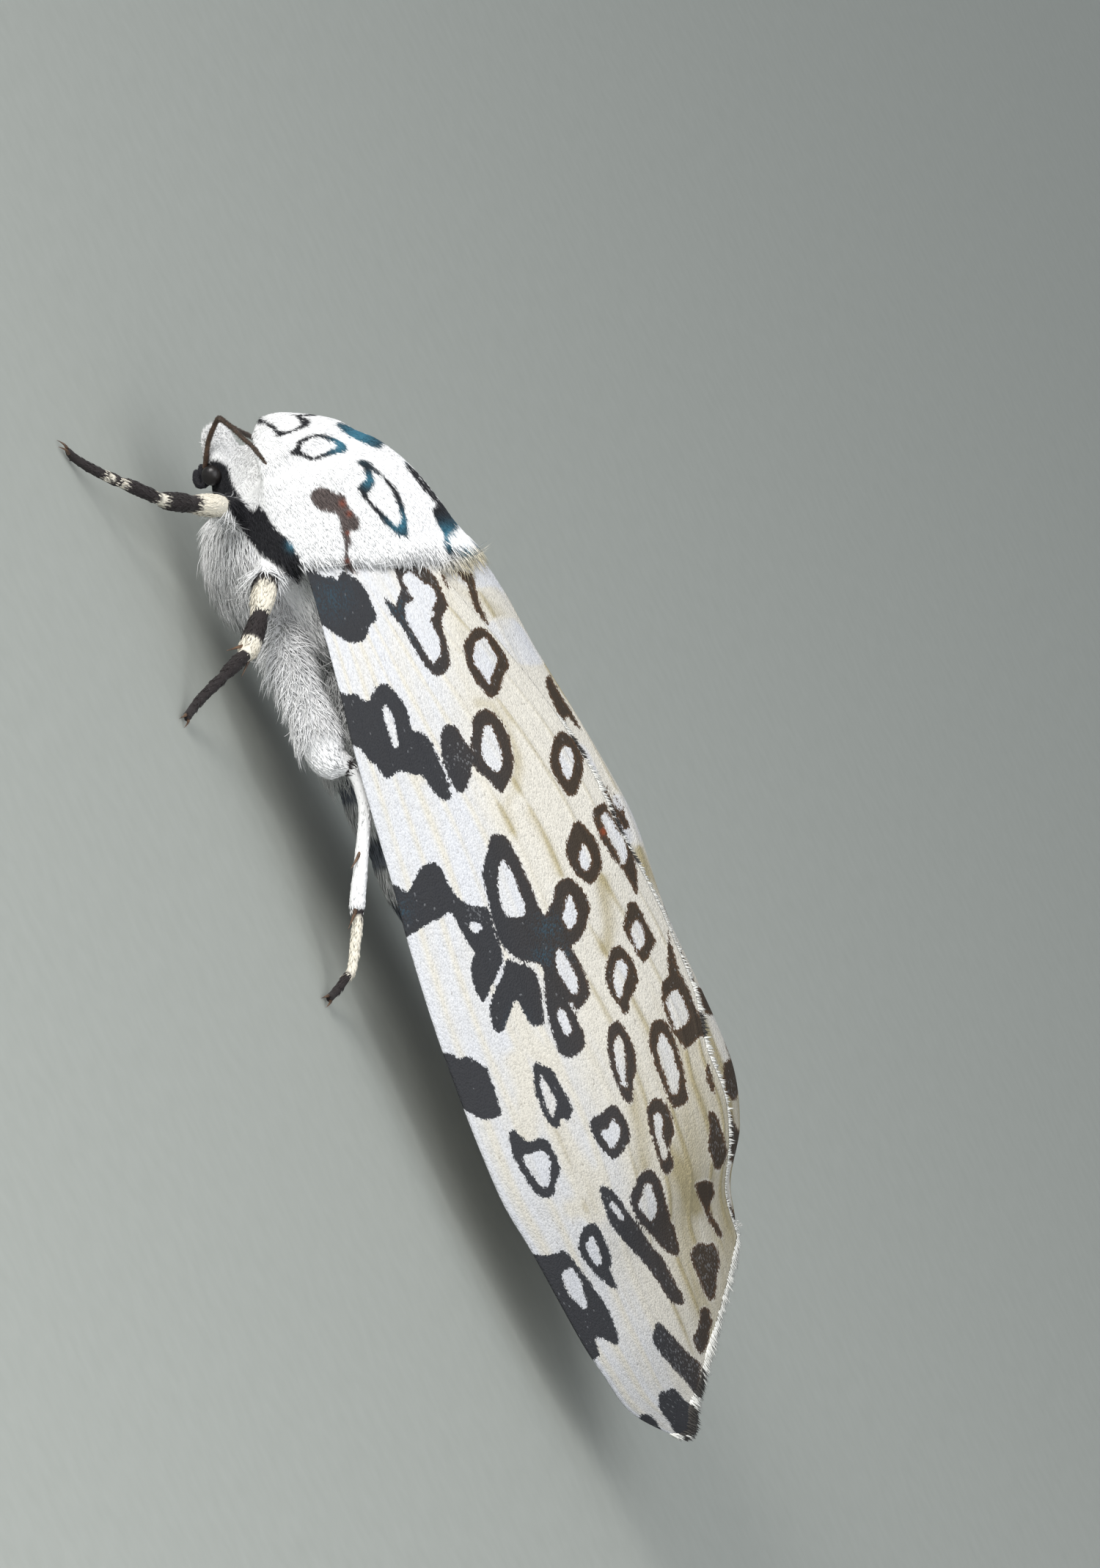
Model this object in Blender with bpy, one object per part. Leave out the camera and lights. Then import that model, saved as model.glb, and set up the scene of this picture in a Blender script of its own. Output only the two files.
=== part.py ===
# Giant leopard moth at rest: head toward -X, wing tips toward +X, its left side toward -Y.
# Lengths below are in millimetres, heights are above the surface that the feet stand on.

import math

import bmesh
import bpy
from mathutils import Vector
from mathutils.bvhtree import BVHTree

MM = 0.001
SHIFT_X = 0.8
GAP = 0.3
MELD = 0.002

# Wing roof: x, half width at the costal edge, its height, height of the ridge
ROOF = (
    (-14.65, 4.25, 5.3, 10.2),
    (-12.5, 5.3, 5.05, 10.8),
    (-10.2, 6.2, 4.74, 11.15),
    (-7.5, 7.0, 4.26, 11.3),
    (-2.5, 7.7, 3.45, 11.7),
    (4.1, 8.4, 2.46, 11.05),
    (9.9, 8.9, 2.07, 10.9),
    (12.6, 8.7, 2.24, 10.1),
    (14.5, 8.4, 2.3, 9.0),
    (16.8, 7.9, 2.35, 8.0),
    (18.1, 7.5, 2.45, 7.6),
    (20.05, 6.6, 2.64, 6.9),
    (22.0, 5.0, 3.63, 6.2),
)
ROOF_ROUND = 0.55
CREST_ROUND = 0.06

# Inner edge of each forewing from root to rear corner: x, 0 at the ridge and 1 at the costal edge
UPPER_EDGE = (
    (-12.5, 0.4),
    (-11.7, 0.36),
    (-10.8, 0.33),
    (-9.5, 0.28),
    (-7.6, 0.21),
    (-5.9, 0.174),
    (-4.6, 0.163),
    (-2.6, 0.157),
    (0.0, 0.165),
    (2.4, 0.11),
    (3.8, 0.085),
    (6.8, 0.1),
    (9.0, 0.165),
    (11.2, 0.155),
    (13.0, 0.16),
    (14.5, 0.13),
    (16.3, 0.08),
)
LOWER_EDGE = (
    (-12.5, 0.1),
    (-11.9, -0.03),
    (-11.2, -0.16),
    (-10.3, -0.27),
    (-8.8, -0.33),
    (-6.0, -0.33),
    (0.0, -0.32),
    (8.0, -0.3),
    (12.0, -0.25),
    (14.5, -0.14),
    (15.7, -0.04),
    (16.2, 0.03),
)
# Outer edge of a forewing from rear corner to tip: share of the way, x, 0 ridge to 1 costal edge
OUTER_EDGE = (
    (0.0, 16.25, 0.06),
    (0.1, 16.9, 0.13),
    (0.25, 18.1, 0.26),
    (0.4, 19.2, 0.38),
    (0.55, 20.15, 0.5),
    (0.72, 21.1, 0.67),
    (0.86, 21.75, 0.82),
    (0.95, 21.95, 0.93),
    (1.0, 21.8, 1.0),
)
COSTAL_START = -14.25
LOWER_TIP_SHIFT = -0.8
# Folded hindwing: x, inner edge, outer edge
HIND_EDGES = (
    (-10.4, 0.46, 0.58),
    (-9.0, 0.32, 0.72),
    (-5.0, 0.22, 0.84),
    (0.0, 0.2, 0.87),
    (6.0, 0.2, 0.87),
    (10.0, 0.28, 0.84),
    (12.5, 0.42, 0.74),
    (13.3, 0.54, 0.64),
)
WING_THICK = 0.5
LAP_STEP = 0.4
HIND_DROP = 1.22
VEIN = 0.14

# Thorax rings: x at top, side, bottom, height at top, side, bottom, half width
THORAX = (
    (-20.6, -20.2, -20.2, 5.9, 5.3, 4.95, 1.2),
    (-20.35, -19.7, -19.7, 6.65, 5.4, 4.85, 2.7),
    (-19.3, -18.8, -18.4, 8.0, 5.4, 4.7, 3.75),
    (-18.5, -18.1, -17.95, 8.9, 5.3, 3.6, 4.1),
    (-18.0, -17.7, -17.8, 9.3, 5.2, 2.5, 4.15),
    (-17.2, -17.1, -17.6, 9.8, 5.2, 1.75, 4.35),
    (-16.2, -16.5, -16.9, 10.25, 5.2, 1.3, 4.5),
    (-14.9, -15.9, -15.9, 10.6, 5.2, 1.15, 4.65),
    (-13.4, -15.4, -14.9, 10.85, 5.2, 1.1, 4.7),
    (-12.2, -15.0, -14.3, 11.0, 5.2, 1.1, 4.55),
    (-11.95, -14.8, -13.9, 9.8, 5.1, 1.1, 3.5),
    (-11.5, -13.2, -12.8, 9.5, 5.0, 1.15, 3.4),
    (-11.0, -11.7, -11.6, 9.1, 4.9, 1.3, 3.2),
    (-10.7, -10.95, -10.8, 8.5, 4.7, 1.7, 2.6),
    (-10.55, -10.65, -10.5, 7.6, 4.5, 2.6, 1.7),
)
THORAX_SIDES = 36
# Rows of wool: x, first and last turn in degrees from the right side, locks
WOOL_ROWS = (
    (-17.2, 222, 318, 5),
    (-15.9, 216, 324, 6),
    (-14.5, 222, 318, 6),
    (-13.1, 228, 312, 5),
    (-11.9, 232, 308, 4),
)
WOOL_LENGTH = 1.75
WOOL_LIFT = 0.3

# Abdomen rings: x, height of the middle, half width, half height
ABDOMEN = (
    (-10.2, 4.8, 1.7, 1.6),
    (-9.8, 4.9, 2.5, 2.5),
    (-8.6, 5.0, 3.1, 3.05),
    (-7.2, 5.0, 3.3, 3.25),
    (-4.6, 4.95, 3.4, 3.3),
    (-2.0, 4.85, 3.35, 3.2),
    (0.6, 4.7, 3.1, 3.0),
    (3.0, 4.5, 2.7, 2.6),
    (5.2, 4.3, 2.1, 2.05),
    (6.9, 4.15, 1.4, 1.4),
    (7.9, 4.1, 0.6, 0.6),
)
ABDOMEN_SEGMENTS = 7

# Legs of the left side, and the right fore leg, which points outward: x, y, z, radius
FORE_LEG = (
    (-17.75, -3.0, 3.75, 0.46),
    (-18.15, -3.75, 3.5, 0.5),
    (-18.5, -4.4, 3.2, 0.5),
    (-18.8, -4.95, 2.85, 0.42),
    (-18.9, -5.15, 2.73, 0.37),
    (-19.0, -5.4, 2.62, 0.43),
    (-19.25, -5.95, 2.38, 0.46),
    (-19.5, -6.45, 2.13, 0.42),
    (-19.65, -6.7, 2.0, 0.31),
    (-19.85, -6.95, 1.9, 0.34),
    (-20.75, -8.0, 1.4, 0.34),
    (-20.95, -8.22, 1.25, 0.28),
    (-21.15, -8.4, 1.12, 0.31),
    (-21.7, -8.9, 0.78, 0.29),
    (-22.3, -9.35, 0.45, 0.28),
    (-22.75, -9.65, 0.26, 0.27),
    (-23.1, -9.9, 0.22, 0.26),
)
FAR_FORE_LEG = (
    (-17.6, 3.1, 3.6, 0.46),
    (-17.6, 4.0, 3.3, 0.5),
    (-17.55, 4.7, 3.0, 0.48),
    (-17.5, 5.2, 2.75, 0.4),
    (-17.5, 5.45, 2.62, 0.37),
    (-17.45, 5.75, 2.5, 0.42),
    (-17.35, 6.3, 2.2, 0.44),
    (-17.25, 6.85, 1.95, 0.4),
    (-17.2, 7.15, 1.8, 0.31),
    (-17.15, 7.45, 1.68, 0.33),
    (-17.0, 8.5, 1.15, 0.33),
    (-16.95, 8.8, 1.0, 0.28),
    (-16.9, 9.05, 0.88, 0.3),
    (-16.85, 9.6, 0.62, 0.29),
    (-16.8, 10.2, 0.38, 0.28),
    (-16.8, 10.6, 0.26, 0.27),
    (-16.8, 10.95, 0.22, 0.26),
)
MID_LEG = (
    (-15.3, -3.3, 4.0, 0.5),
    (-14.85, -4.45, 3.85, 0.54),
    (-14.4, -5.05, 3.6, 0.52),
    (-14.05, -5.4, 3.38, 0.44),
    (-13.9, -5.55, 3.28, 0.38),
    (-13.75, -5.75, 3.15, 0.45),
    (-13.35, -6.2, 2.8, 0.5),
    (-13.0, -6.6, 2.48, 0.5),
    (-12.9, -6.95, 2.3, 0.36),
    (-12.85, -7.25, 2.17, 0.37),
    (-12.7, -8.3, 1.7, 0.35),
    (-12.65, -8.6, 1.55, 0.28),
    (-12.6, -8.9, 1.42, 0.32),
    (-12.4, -10.2, 0.75, 0.29),
    (-12.2, -11.2, 0.34, 0.28),
    (-12.1, -12.0, 0.22, 0.26),
)
HIND_LEG = (
    (-12.9, -2.6, 3.1, 0.6),
    (-11.6, -4.2, 3.15, 0.68),
    (-9.6, -5.35, 3.25, 0.78),
    (-8.5, -5.8, 3.25, 0.9),
    (-7.75, -6.0, 3.35, 0.84),
    (-7.4, -6.0, 3.68, 0.58),
    (-7.0, -6.05, 3.95, 0.38),
    (-5.6, -6.4, 3.8, 0.36),
    (-4.1, -7.05, 3.05, 0.4),
    (-2.7, -7.9, 2.3, 0.45),
    (-2.3, -8.1, 2.11, 0.42),
    (-2.06, -8.25, 2.05, 0.3),
    (-1.8, -8.45, 1.92, 0.33),
    (-0.45, -9.3, 1.15, 0.3),
    (-0.3, -9.6, 0.9, 0.3),
    (-0.1, -10.1, 0.55, 0.29),
    (0.0, -10.7, 0.28, 0.28),
    (0.0, -11.3, 0.22, 0.26),
)
# Spurs: path point of the leg that carries the pair, length
SPURS = {"fore": (), "mid": ((7, 1.05),), "hind": ((8, 0.95), (10, 1.1))}
CLAW_LENGTH = 0.5
LEG_SIDES = 10

ANTENNA = (
    (-20.0, -1.0, 3.25, 0.24),
    (-20.55, -1.3, 3.68, 0.25),
    (-20.9, -1.52, 4.08, 0.26),
    (-21.17, -1.85, 4.48, 0.26),
    (-21.1, -2.6, 4.75, 0.26),
    (-20.75, -3.6, 5.15, 0.26),
    (-20.35, -4.8, 5.55, 0.25),
    (-19.95, -6.1, 6.0, 0.25),
    (-19.6, -7.4, 6.35, 0.22),
    (-19.3, -8.6, 6.65, 0.14),
)
FAR_ANTENNA = (
    (-20.0, 1.0, 3.25, 0.24),
    (-20.5, 1.35, 3.55, 0.25),
    (-20.68, 1.8, 3.72, 0.26),
    (-20.6, 2.4, 3.76, 0.26),
    (-20.4, 3.2, 3.8, 0.26),
    (-20.05, 4.3, 3.8, 0.26),
    (-19.7, 5.5, 3.8, 0.25),
    (-19.35, 6.8, 3.75, 0.22),
    (-19.1, 7.9, 3.65, 0.14),
)
PALP = (
    (-19.07, -0.54, 2.89, 0.18),
    (-19.0, -0.66, 2.4, 0.18),
    (-19.3, -0.7, 2.36, 0.19),
    (-19.55, -0.72, 2.4, 0.18),
    (-19.75, -0.72, 2.52, 0.14),
)

HEAD_MIDDLE = Vector((-19.4, 0.0, 3.65))
HEAD_RADII = (1.05, 1.35, 0.88)
HEAD_FLAT = 1.12
FACE_WAY = Vector((-0.97, 0.0, 0.08))
FACE_LENGTH = 0.5
EYE_MIDDLE = Vector((-19.25, -1.42, 3.2))
EYE_RADIUS = 0.5
EYE_DEPTH = 0.38

WHITE = (0.86, 0.85, 0.8, 1.0)
BLACK = (0.03, 0.03, 0.035, 1.0)
BROWN = (0.1, 0.07, 0.05, 1.0)
BLUE_BLACK = (0.05, 0.06, 0.12, 1.0)
GREY = (0.5, 0.5, 0.5, 1.0)


def clear_scene():
    for item in list(bpy.data.objects):
        bpy.data.objects.remove(item, do_unlink=True)


def make_material(name, colour, roughness):
    made = bpy.data.materials.new(name)
    made.use_nodes = True
    shader = made.node_tree.nodes["Principled BSDF"]
    shader.inputs["Base Color"].default_value = colour
    shader.inputs["Roughness"].default_value = roughness
    return made


def add_body(name, verts, faces, colour, roughness=0.6):
    mesh = bpy.data.meshes.new(name)
    scaled = [((v[0] + SHIFT_X) * MM, v[1] * MM, v[2] * MM) for v in verts]
    mesh.from_pydata(scaled, [], faces)
    turn_outward(mesh)
    body = bpy.data.objects.new(name, mesh)
    bpy.context.scene.collection.objects.link(body)
    mesh.materials.append(make_material(name, colour, roughness))
    return body


def turn_outward(mesh):
    work = bmesh.new()
    work.from_mesh(mesh)
    bmesh.ops.triangulate(work, faces=work.faces[:])
    bmesh.ops.recalc_face_normals(work, faces=work.faces[:])
    work.to_mesh(mesh)
    work.free()


def mirrored(points):
    return [(p[0], -p[1], *p[2:]) for p in points]


# Curves through tables

def at(table, x):
    """Columns of a table of rows (x, ...) at x, on a smooth curve through the rows."""
    if x <= table[0][0]:
        return table[0][1:]
    if x >= table[-1][0]:
        return table[-1][1:]
    k = max(i for i in range(len(table) - 1) if table[i][0] <= x)
    a, b = table[k], table[k + 1]
    before = table[max(k - 1, 0)]
    after = table[min(k + 2, len(table) - 1)]
    span = b[0] - a[0]
    t = (x - a[0]) / span
    found = []
    for c in range(1, len(a)):
        start = (b[c] - before[c]) / (b[0] - before[0]) * span
        end = (after[c] - a[c]) / (after[0] - a[0]) * span
        rise = b[c] - a[c]
        curve = start * t + (3 * rise - 2 * start - end) * t**2 + (start + end - 2 * rise) * t**3
        found.append(a[c] + curve)
    return found


def blend(low, high, value):
    t = min(max((value - low) / (high - low), 0.0), 1.0)
    return t * t * (3 - 2 * t)


# Closed surfaces from rings

def ring_faces(rings, sides):
    faces = []
    for r in range(rings - 1):
        for s in range(sides):
            a = r * sides + s
            b = r * sides + (s + 1) % sides
            faces.append((a, b, b + sides, a + sides))
    return faces


def capped(rings, start, end):
    """A closed surface over rings of points, each end drawn together in one point."""
    sides = len(rings[0])
    verts = [p for ring in rings for p in ring]
    faces = ring_faces(len(rings), sides)
    first = len(verts)
    verts += [start, end]
    last = (len(rings) - 1) * sides
    for s in range(sides):
        t = (s + 1) % sides
        faces.append((first, t, s))
        faces.append((first + 1, last + s, last + t))
    return verts, faces


def middle(ring):
    return sum((Vector(p) for p in ring), Vector()) / len(ring)


def tube_rings(path, sides):
    """Rings around a path of (x, y, z, radius), without twist."""
    points = [Vector(p[:3]) for p in path]
    side = None
    rings = []
    for i, point in enumerate(points):
        ahead = points[min(i + 1, len(points) - 1)] - points[max(i - 1, 0)]
        ahead.normalize()
        if side is None:
            side = ahead.cross(Vector((0, 0, 1))).normalized()
        side = (side - ahead * side.dot(ahead)).normalized()
        up = ahead.cross(side)
        ring = []
        for s in range(sides):
            turn = 2 * math.pi * s / sides
            ring.append(point + path[i][3] * (math.cos(turn) * side + math.sin(turn) * up))
        rings.append(ring)
    return rings


def seated(rings, tree):
    """The rings with the first one pressed to the surface in tree, but for the gap."""
    ring = rings[0]
    _, normal, _, _ = tree.find_nearest(middle(ring))
    way = (middle(rings[1]) - middle(ring)).normalized()
    outward = (way + (normal if normal.dot(way) > 0 else -normal)).normalized()
    moved = []
    for point in ring:
        hit, normal, _, _ = tree.ray_cast(point + outward * 4.0, -outward)
        if hit is None:
            moved.append(point)
            continue
        slope = max(abs(normal.dot(outward)), 0.55)
        moved.append(hit + outward * (GAP / slope))
    return [moved, *rings[1:]]


# Locks of hair, spurs and claws, and their union with a body

def lock(root, aim, flat, length, width, thick, droop=0.0):
    """A tapered flat lock from root along aim, its width across flat, its end bent by droop."""
    aim = aim.normalized()
    across = (flat - aim * flat.dot(aim)).normalized()
    lift = across.cross(aim)
    verts = []
    for share, size in ((0.0, 0.8), (0.35, 1.0), (0.7, 0.62)):
        centre = root + aim * (length * share) + Vector((0, 0, -droop * share * share))
        half = across * (width * size / 2)
        rise = lift * (thick * size / 2)
        verts += [centre + half, centre + rise, centre - half, centre - rise]
    verts.append(root + aim * length + Vector((0, 0, -droop)))
    faces = [(0, 3, 2, 1)]
    for r in range(2):
        for k in range(4):
            a, b = r * 4 + k, r * 4 + (k + 1) % 4
            faces.append((a, b, b + 4, a + 4))
    faces += [(8 + k, 8 + (k + 1) % 4, 12) for k in range(4)]
    return verts, faces


def spike(root, tip, radius):
    """A three-sided cone from root to tip."""
    aim = (tip - root).normalized()
    side = aim.orthogonal().normalized()
    up = aim.cross(side)
    verts = []
    for k in range(3):
        turn = 2 * math.pi * k / 3
        verts.append(root + radius * (math.cos(turn) * side + math.sin(turn) * up))
    verts += [tip, root - aim * 0.05]
    faces = [(0, 1, 3), (1, 2, 3), (2, 0, 3), (1, 0, 4), (2, 1, 4), (0, 2, 4)]
    return verts, faces


def fuse(body, pieces):
    """Joins closed pieces to a body and keeps the largest closed surface of the result."""
    group = bpy.data.collections.new("pieces")
    bpy.context.scene.collection.children.link(group)
    for k, (verts, faces) in enumerate(pieces):
        mesh = bpy.data.meshes.new(f"piece_{k}")
        mesh.from_pydata([((v[0] + SHIFT_X) * MM, v[1] * MM, v[2] * MM) for v in verts], [], faces)
        turn_outward(mesh)
        group.objects.link(bpy.data.objects.new(f"piece_{k}", mesh))
    union = body.modifiers.new("union", "BOOLEAN")
    union.operation = "UNION"
    union.operand_type = "COLLECTION"
    union.collection = group
    union.solver = "EXACT"
    bpy.context.view_layer.update()
    ready = body.evaluated_get(bpy.context.evaluated_depsgraph_get())
    joined = bpy.data.meshes.new_from_object(ready)
    body.modifiers.clear()
    body.data = joined
    for item in list(group.objects):
        bpy.data.objects.remove(item, do_unlink=True)
    bpy.data.collections.remove(group)
    keep_largest(joined)


def keep_largest(mesh):
    work = bmesh.new()
    work.from_mesh(mesh)
    bmesh.ops.triangulate(work, faces=work.faces[:])
    bmesh.ops.remove_doubles(work, verts=work.verts[:], dist=MELD * MM)
    bmesh.ops.dissolve_degenerate(work, edges=work.edges[:], dist=MELD * MM)
    bmesh.ops.triangulate(work, faces=work.faces[:])
    left = set(work.verts)
    largest = set()
    while left:
        shell = {left.pop()}
        edge = list(shell)
        while edge:
            vert = edge.pop()
            for link in vert.link_edges:
                other = link.other_vert(vert)
                if other in left:
                    left.remove(other)
                    shell.add(other)
                    edge.append(other)
        if len(shell) > len(largest):
            largest = shell
    bmesh.ops.delete(work, geom=[v for v in work.verts if v not in largest], context="VERTS")
    work.to_mesh(mesh)
    work.free()


def surface_spot(tree, centre, ray):
    """Where a ray from centre leaves the surface in tree, and the way out of it there."""
    hit, normal, _, _ = tree.ray_cast(centre + ray * 20.0, -ray)
    return hit, normal if normal.dot(ray) > 0 else -normal


# Wings

def roof(x, v, side, offset):
    """A point of the wing roof at x, v from the ridge to the costal edge, offset outward."""
    here = roof_middle(x, v, side)
    along = Vector(roof_middle(x + 0.05, v, side)) - Vector(roof_middle(x - 0.05, v, side))
    down = Vector(roof_middle(x, v + 0.01, side)) - Vector(roof_middle(x, v - 0.01, side))
    normal = down.cross(along).normalized() * -side
    return Vector(here) + normal * offset


def roof_middle(x, v, side):
    width, low, ridge = at(ROOF, x)
    turn = math.pi / 2 * v
    soft = math.sqrt(v * v + CREST_ROUND**2) - CREST_ROUND
    across = (1 - ROOF_ROUND) * v + ROOF_ROUND * math.sin(turn)
    height = (1 - ROOF_ROUND) * (1 - soft) + ROOF_ROUND * math.cos(turn)
    return (x, side * width * across, low + (ridge - low) * height)


def plate(columns, rows, spot, side, offset, ridge):
    """A thin closed plate: spot gives (x, v) of a grid point, ridge its raised height."""
    verts = []
    for upper in (1, -1):
        for i in range(columns + 1):
            for j in range(rows + 1):
                x, v = spot(i / columns, j / rows)
                rise = upper * WING_THICK / 2
                if upper > 0:
                    rise += ridge(i, j, v)
                verts.append(roof(x, v, side, offset(v) + rise))
    return verts, plate_faces(columns, rows)


def plate_faces(columns, rows):
    faces = []
    count = (columns + 1) * (rows + 1)
    for i in range(columns):
        for j in range(rows):
            a = i * (rows + 1) + j
            b, c, d = a + 1, a + rows + 1, a + rows + 2
            faces += [(a, c, b), (b, c, d)]
            faces += [(a + count, b + count, c + count), (b + count, d + count, c + count)]
    rim = [i * (rows + 1) for i in range(columns + 1)]
    rim += [columns * (rows + 1) + j for j in range(1, rows + 1)]
    rim += [i * (rows + 1) + rows for i in range(columns - 1, -1, -1)]
    rim += [j for j in range(rows - 1, 0, -1)]
    for k, a in enumerate(rim):
        b = rim[(k + 1) % len(rim)]
        faces += [(a, b, b + count), (a, b + count, a + count)]
    return faces


def filled(edge, tip_shift, u, b):
    """(x, v) of a forewing: u runs from root to outer edge, b from inner to costal edge."""
    first, last = edge[0][0], edge[-1][0]
    inner_x = first + (last - first) * u
    inner_v = at(edge, inner_x)[0]
    tip_x = OUTER_EDGE[-1][1] + tip_shift
    costal_x = COSTAL_START + (tip_x - COSTAL_START) * u
    outer = at(OUTER_EDGE, b)
    corner = OUTER_EDGE[0]
    outer_x = outer[0] + (last - corner[1]) * (1 - b) + tip_shift * b
    outer_v = outer[1] + (edge[-1][1] - corner[2]) * (1 - b)
    root_x = first + (COSTAL_START - first) * b
    root_v = edge[0][1] + (1 - edge[0][1]) * b
    x = (1 - b) * inner_x + b * costal_x + (1 - u) * root_x + u * outer_x
    x -= (1 - u) * ((1 - b) * first + b * COSTAL_START) + u * ((1 - b) * last + b * tip_x)
    v = (1 - b) * inner_v + b + (1 - u) * root_v + u * outer_v
    v -= (1 - u) * ((1 - b) * edge[0][1] + b) + u * ((1 - b) * edge[-1][1] + b)
    return x, v


def meet(verts, rows, count, tree):
    """Moves the root edge of a wing along X to the surface in tree, but for the gap."""
    for k in [*range(rows + 1), *range(count, count + rows + 1)]:
        start = verts[k] + Vector((2.0, 0, 0))
        hit, normal, _, _ = tree.ray_cast(start, Vector((-1, 0, 0)), 3.4)
        if hit is not None:
            verts[k] = hit + Vector((GAP / max(abs(normal.x), 0.6), 0, 0))


def forewing(name, side, edge, step, tip_shift, tree):
    columns, rows = 34, 16

    def spot(u, b):
        return filled(edge, tip_shift, u, b)

    def offset(v):
        return step * (1 - blend(0.36, 0.7, v))

    def ridge(i, j, v):
        if j % 2 == 0 or j == rows or step < 0 and v < 0.3:
            return 0.0
        ends = min(i, columns - i) / 4
        return VEIN * min(ends, 1.0)

    verts, faces = plate(columns, rows, spot, side, offset, ridge)
    meet(verts, rows, (columns + 1) * (rows + 1), tree)
    return add_body(name, verts, faces, WHITE, 0.5)


def hindwing(name, side):
    columns, rows = 18, 10

    def spot(u, b):
        first, last = HIND_EDGES[0][0], HIND_EDGES[-1][0]
        x = first + (last - first) * (1 - math.cos(math.pi * u)) / 2
        inner, outer = at(HIND_EDGES, x)
        return x, inner + (outer - inner) * b

    def offset(v):
        return -HIND_DROP + (HIND_DROP - 0.84) * blend(0.4, 0.72, v)

    def ridge(i, j, v):
        return 0.0

    verts, faces = plate(columns, rows, spot, side, offset, ridge)
    return add_body(name, verts, faces, GREY, 0.5)


# Trunk of the body

def relief(x, turn):
    """Swell of the coat: collar lobes and shoulder plates, with a furrow between them."""
    lean = abs(math.degrees(math.pi / 2 - turn))
    if lean > 110:
        return 1.0
    plate_x = blend(-18.2, -17.2, x) * (1 - blend(-13.6, -12.6, x))
    swell = 0.05 * plate_x * math.exp(-(((lean - 48) / 20) ** 2))
    lobe_x = blend(-20.4, -19.6, x) * (1 - blend(-19.0, -18.4, x))
    swell += 0.035 * lobe_x * math.exp(-(((lean - 32) / 22) ** 2))
    swell -= 0.04 * math.exp(-(((x + 18.35) / 0.4) ** 2)) * (1 - blend(80, 100, lean))
    swell -= 0.025 * plate_x * math.exp(-(((lean - 22) / 7) ** 2))
    return 1 + swell


def thorax_rings():
    table = [(k, *row) for k, row in enumerate(THORAX)]
    rings = []
    for k in range(2 * len(THORAX) - 1):
        top_x, side_x, low_x, top, mid, low, width = at(table, k / 2)
        ring = []
        for s in range(THORAX_SIDES):
            turn = 2 * math.pi * s / THORAX_SIDES
            up, out = math.sin(turn), math.cos(turn)
            if up >= 0:
                x = side_x + (top_x - side_x) * up
                z = mid + (top - mid) * up
                y = width * out
            else:
                x = side_x + (low_x - side_x) * -up
                z = mid + (mid - low) * up
                y = width * out * (1 + 0.38 * up)
            swell = relief(x, turn) if up >= -0.3 else 1.0
            ring.append(Vector((x, y * swell, mid + (z - mid) * swell)))
        rings.append(ring)
    return rings


def make_thorax():
    rings = thorax_rings()
    verts, faces = capped(rings, middle(rings[0]) + Vector((-0.1, 0, 0)), middle(rings[-1]))
    body = add_body("thorax", verts, faces, WHITE, 0.8)
    tree = BVHTree.FromPolygons([Vector(v) for v in verts], faces)
    fuse(body, wool(tree) + rear_tuft(tree) + shoulder_locks(tree) + collar_locks(tree))
    return tree


def wool(tree):
    """Locks under the thorax and along its flanks, which lie backward."""
    pieces = []
    for row, (x, low, high, count) in enumerate(WOOL_ROWS):
        for k in range(count):
            turn = math.radians(low + (high - low) * (k + 0.5) / count)
            ray = Vector((0, math.cos(turn), math.sin(turn)))
            hit, normal = surface_spot(tree, Vector((x, 0, 4.6)), ray)
            aim = Vector((1.0, 0, 0)) + normal * WOOL_LIFT
            flat = normal.cross(aim)
            length = WOOL_LENGTH * (1 + 0.12 * math.sin(3.1 * k + row))
            pieces.append(lock(hit - normal * 0.35, aim, flat, length, 1.15, 0.6))
    return pieces


def rear_tuft(tree):
    """Locks of the long tuft over the roots of the wings."""
    pieces = []
    for k in range(7):
        turn = math.radians(60 + 10 * k)
        ray = Vector((0, math.cos(turn), math.sin(turn)))
        hit, normal = surface_spot(tree, Vector((-13.1, 0, 6.0)), ray)
        aim = Vector((1.0, 0, 0.1)) + normal * (0.34 + 0.4 * blend(2, 6, k))
        length = 2.7 - 0.3 * abs(k - 3)
        pieces.append(lock(hit - normal * 0.3, aim, normal.cross(aim), length, 1.3, 0.55))
    return pieces


def shoulder_locks(tree):
    """Locks at the rear edge of each shoulder plate, over the root of the forewing."""
    pieces = []
    for side in (-1, 1):
        for turn, x in ((8, -15.6), (24, -15.1), (40, -14.5), (54, -13.9)):
            turn = math.radians(turn)
            ray = Vector((0, side * math.cos(turn), math.sin(turn)))
            hit, normal = surface_spot(tree, Vector((x, 0, 5.2)), ray)
            aim = Vector((1.0, 0, 0.3)) + normal * 0.42
            pieces.append(lock(hit - normal * 0.3, aim, normal.cross(aim), 1.6, 1.1, 0.55))
    return pieces


def collar_locks(tree):
    """Short locks along the front edge of the collar."""
    pieces = []
    for k in range(7):
        turn = math.radians(30 + 20 * k)
        ray = Vector((0, math.cos(turn), math.sin(turn)))
        hit, normal = surface_spot(tree, Vector((-19.75, 0, 5.5)), ray)
        aim = Vector((-1.0, 0, -0.1)) + normal * 0.5
        pieces.append(lock(hit - normal * 0.3, aim, normal.cross(aim), 1.0, 0.9, 0.5))
    return pieces


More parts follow.
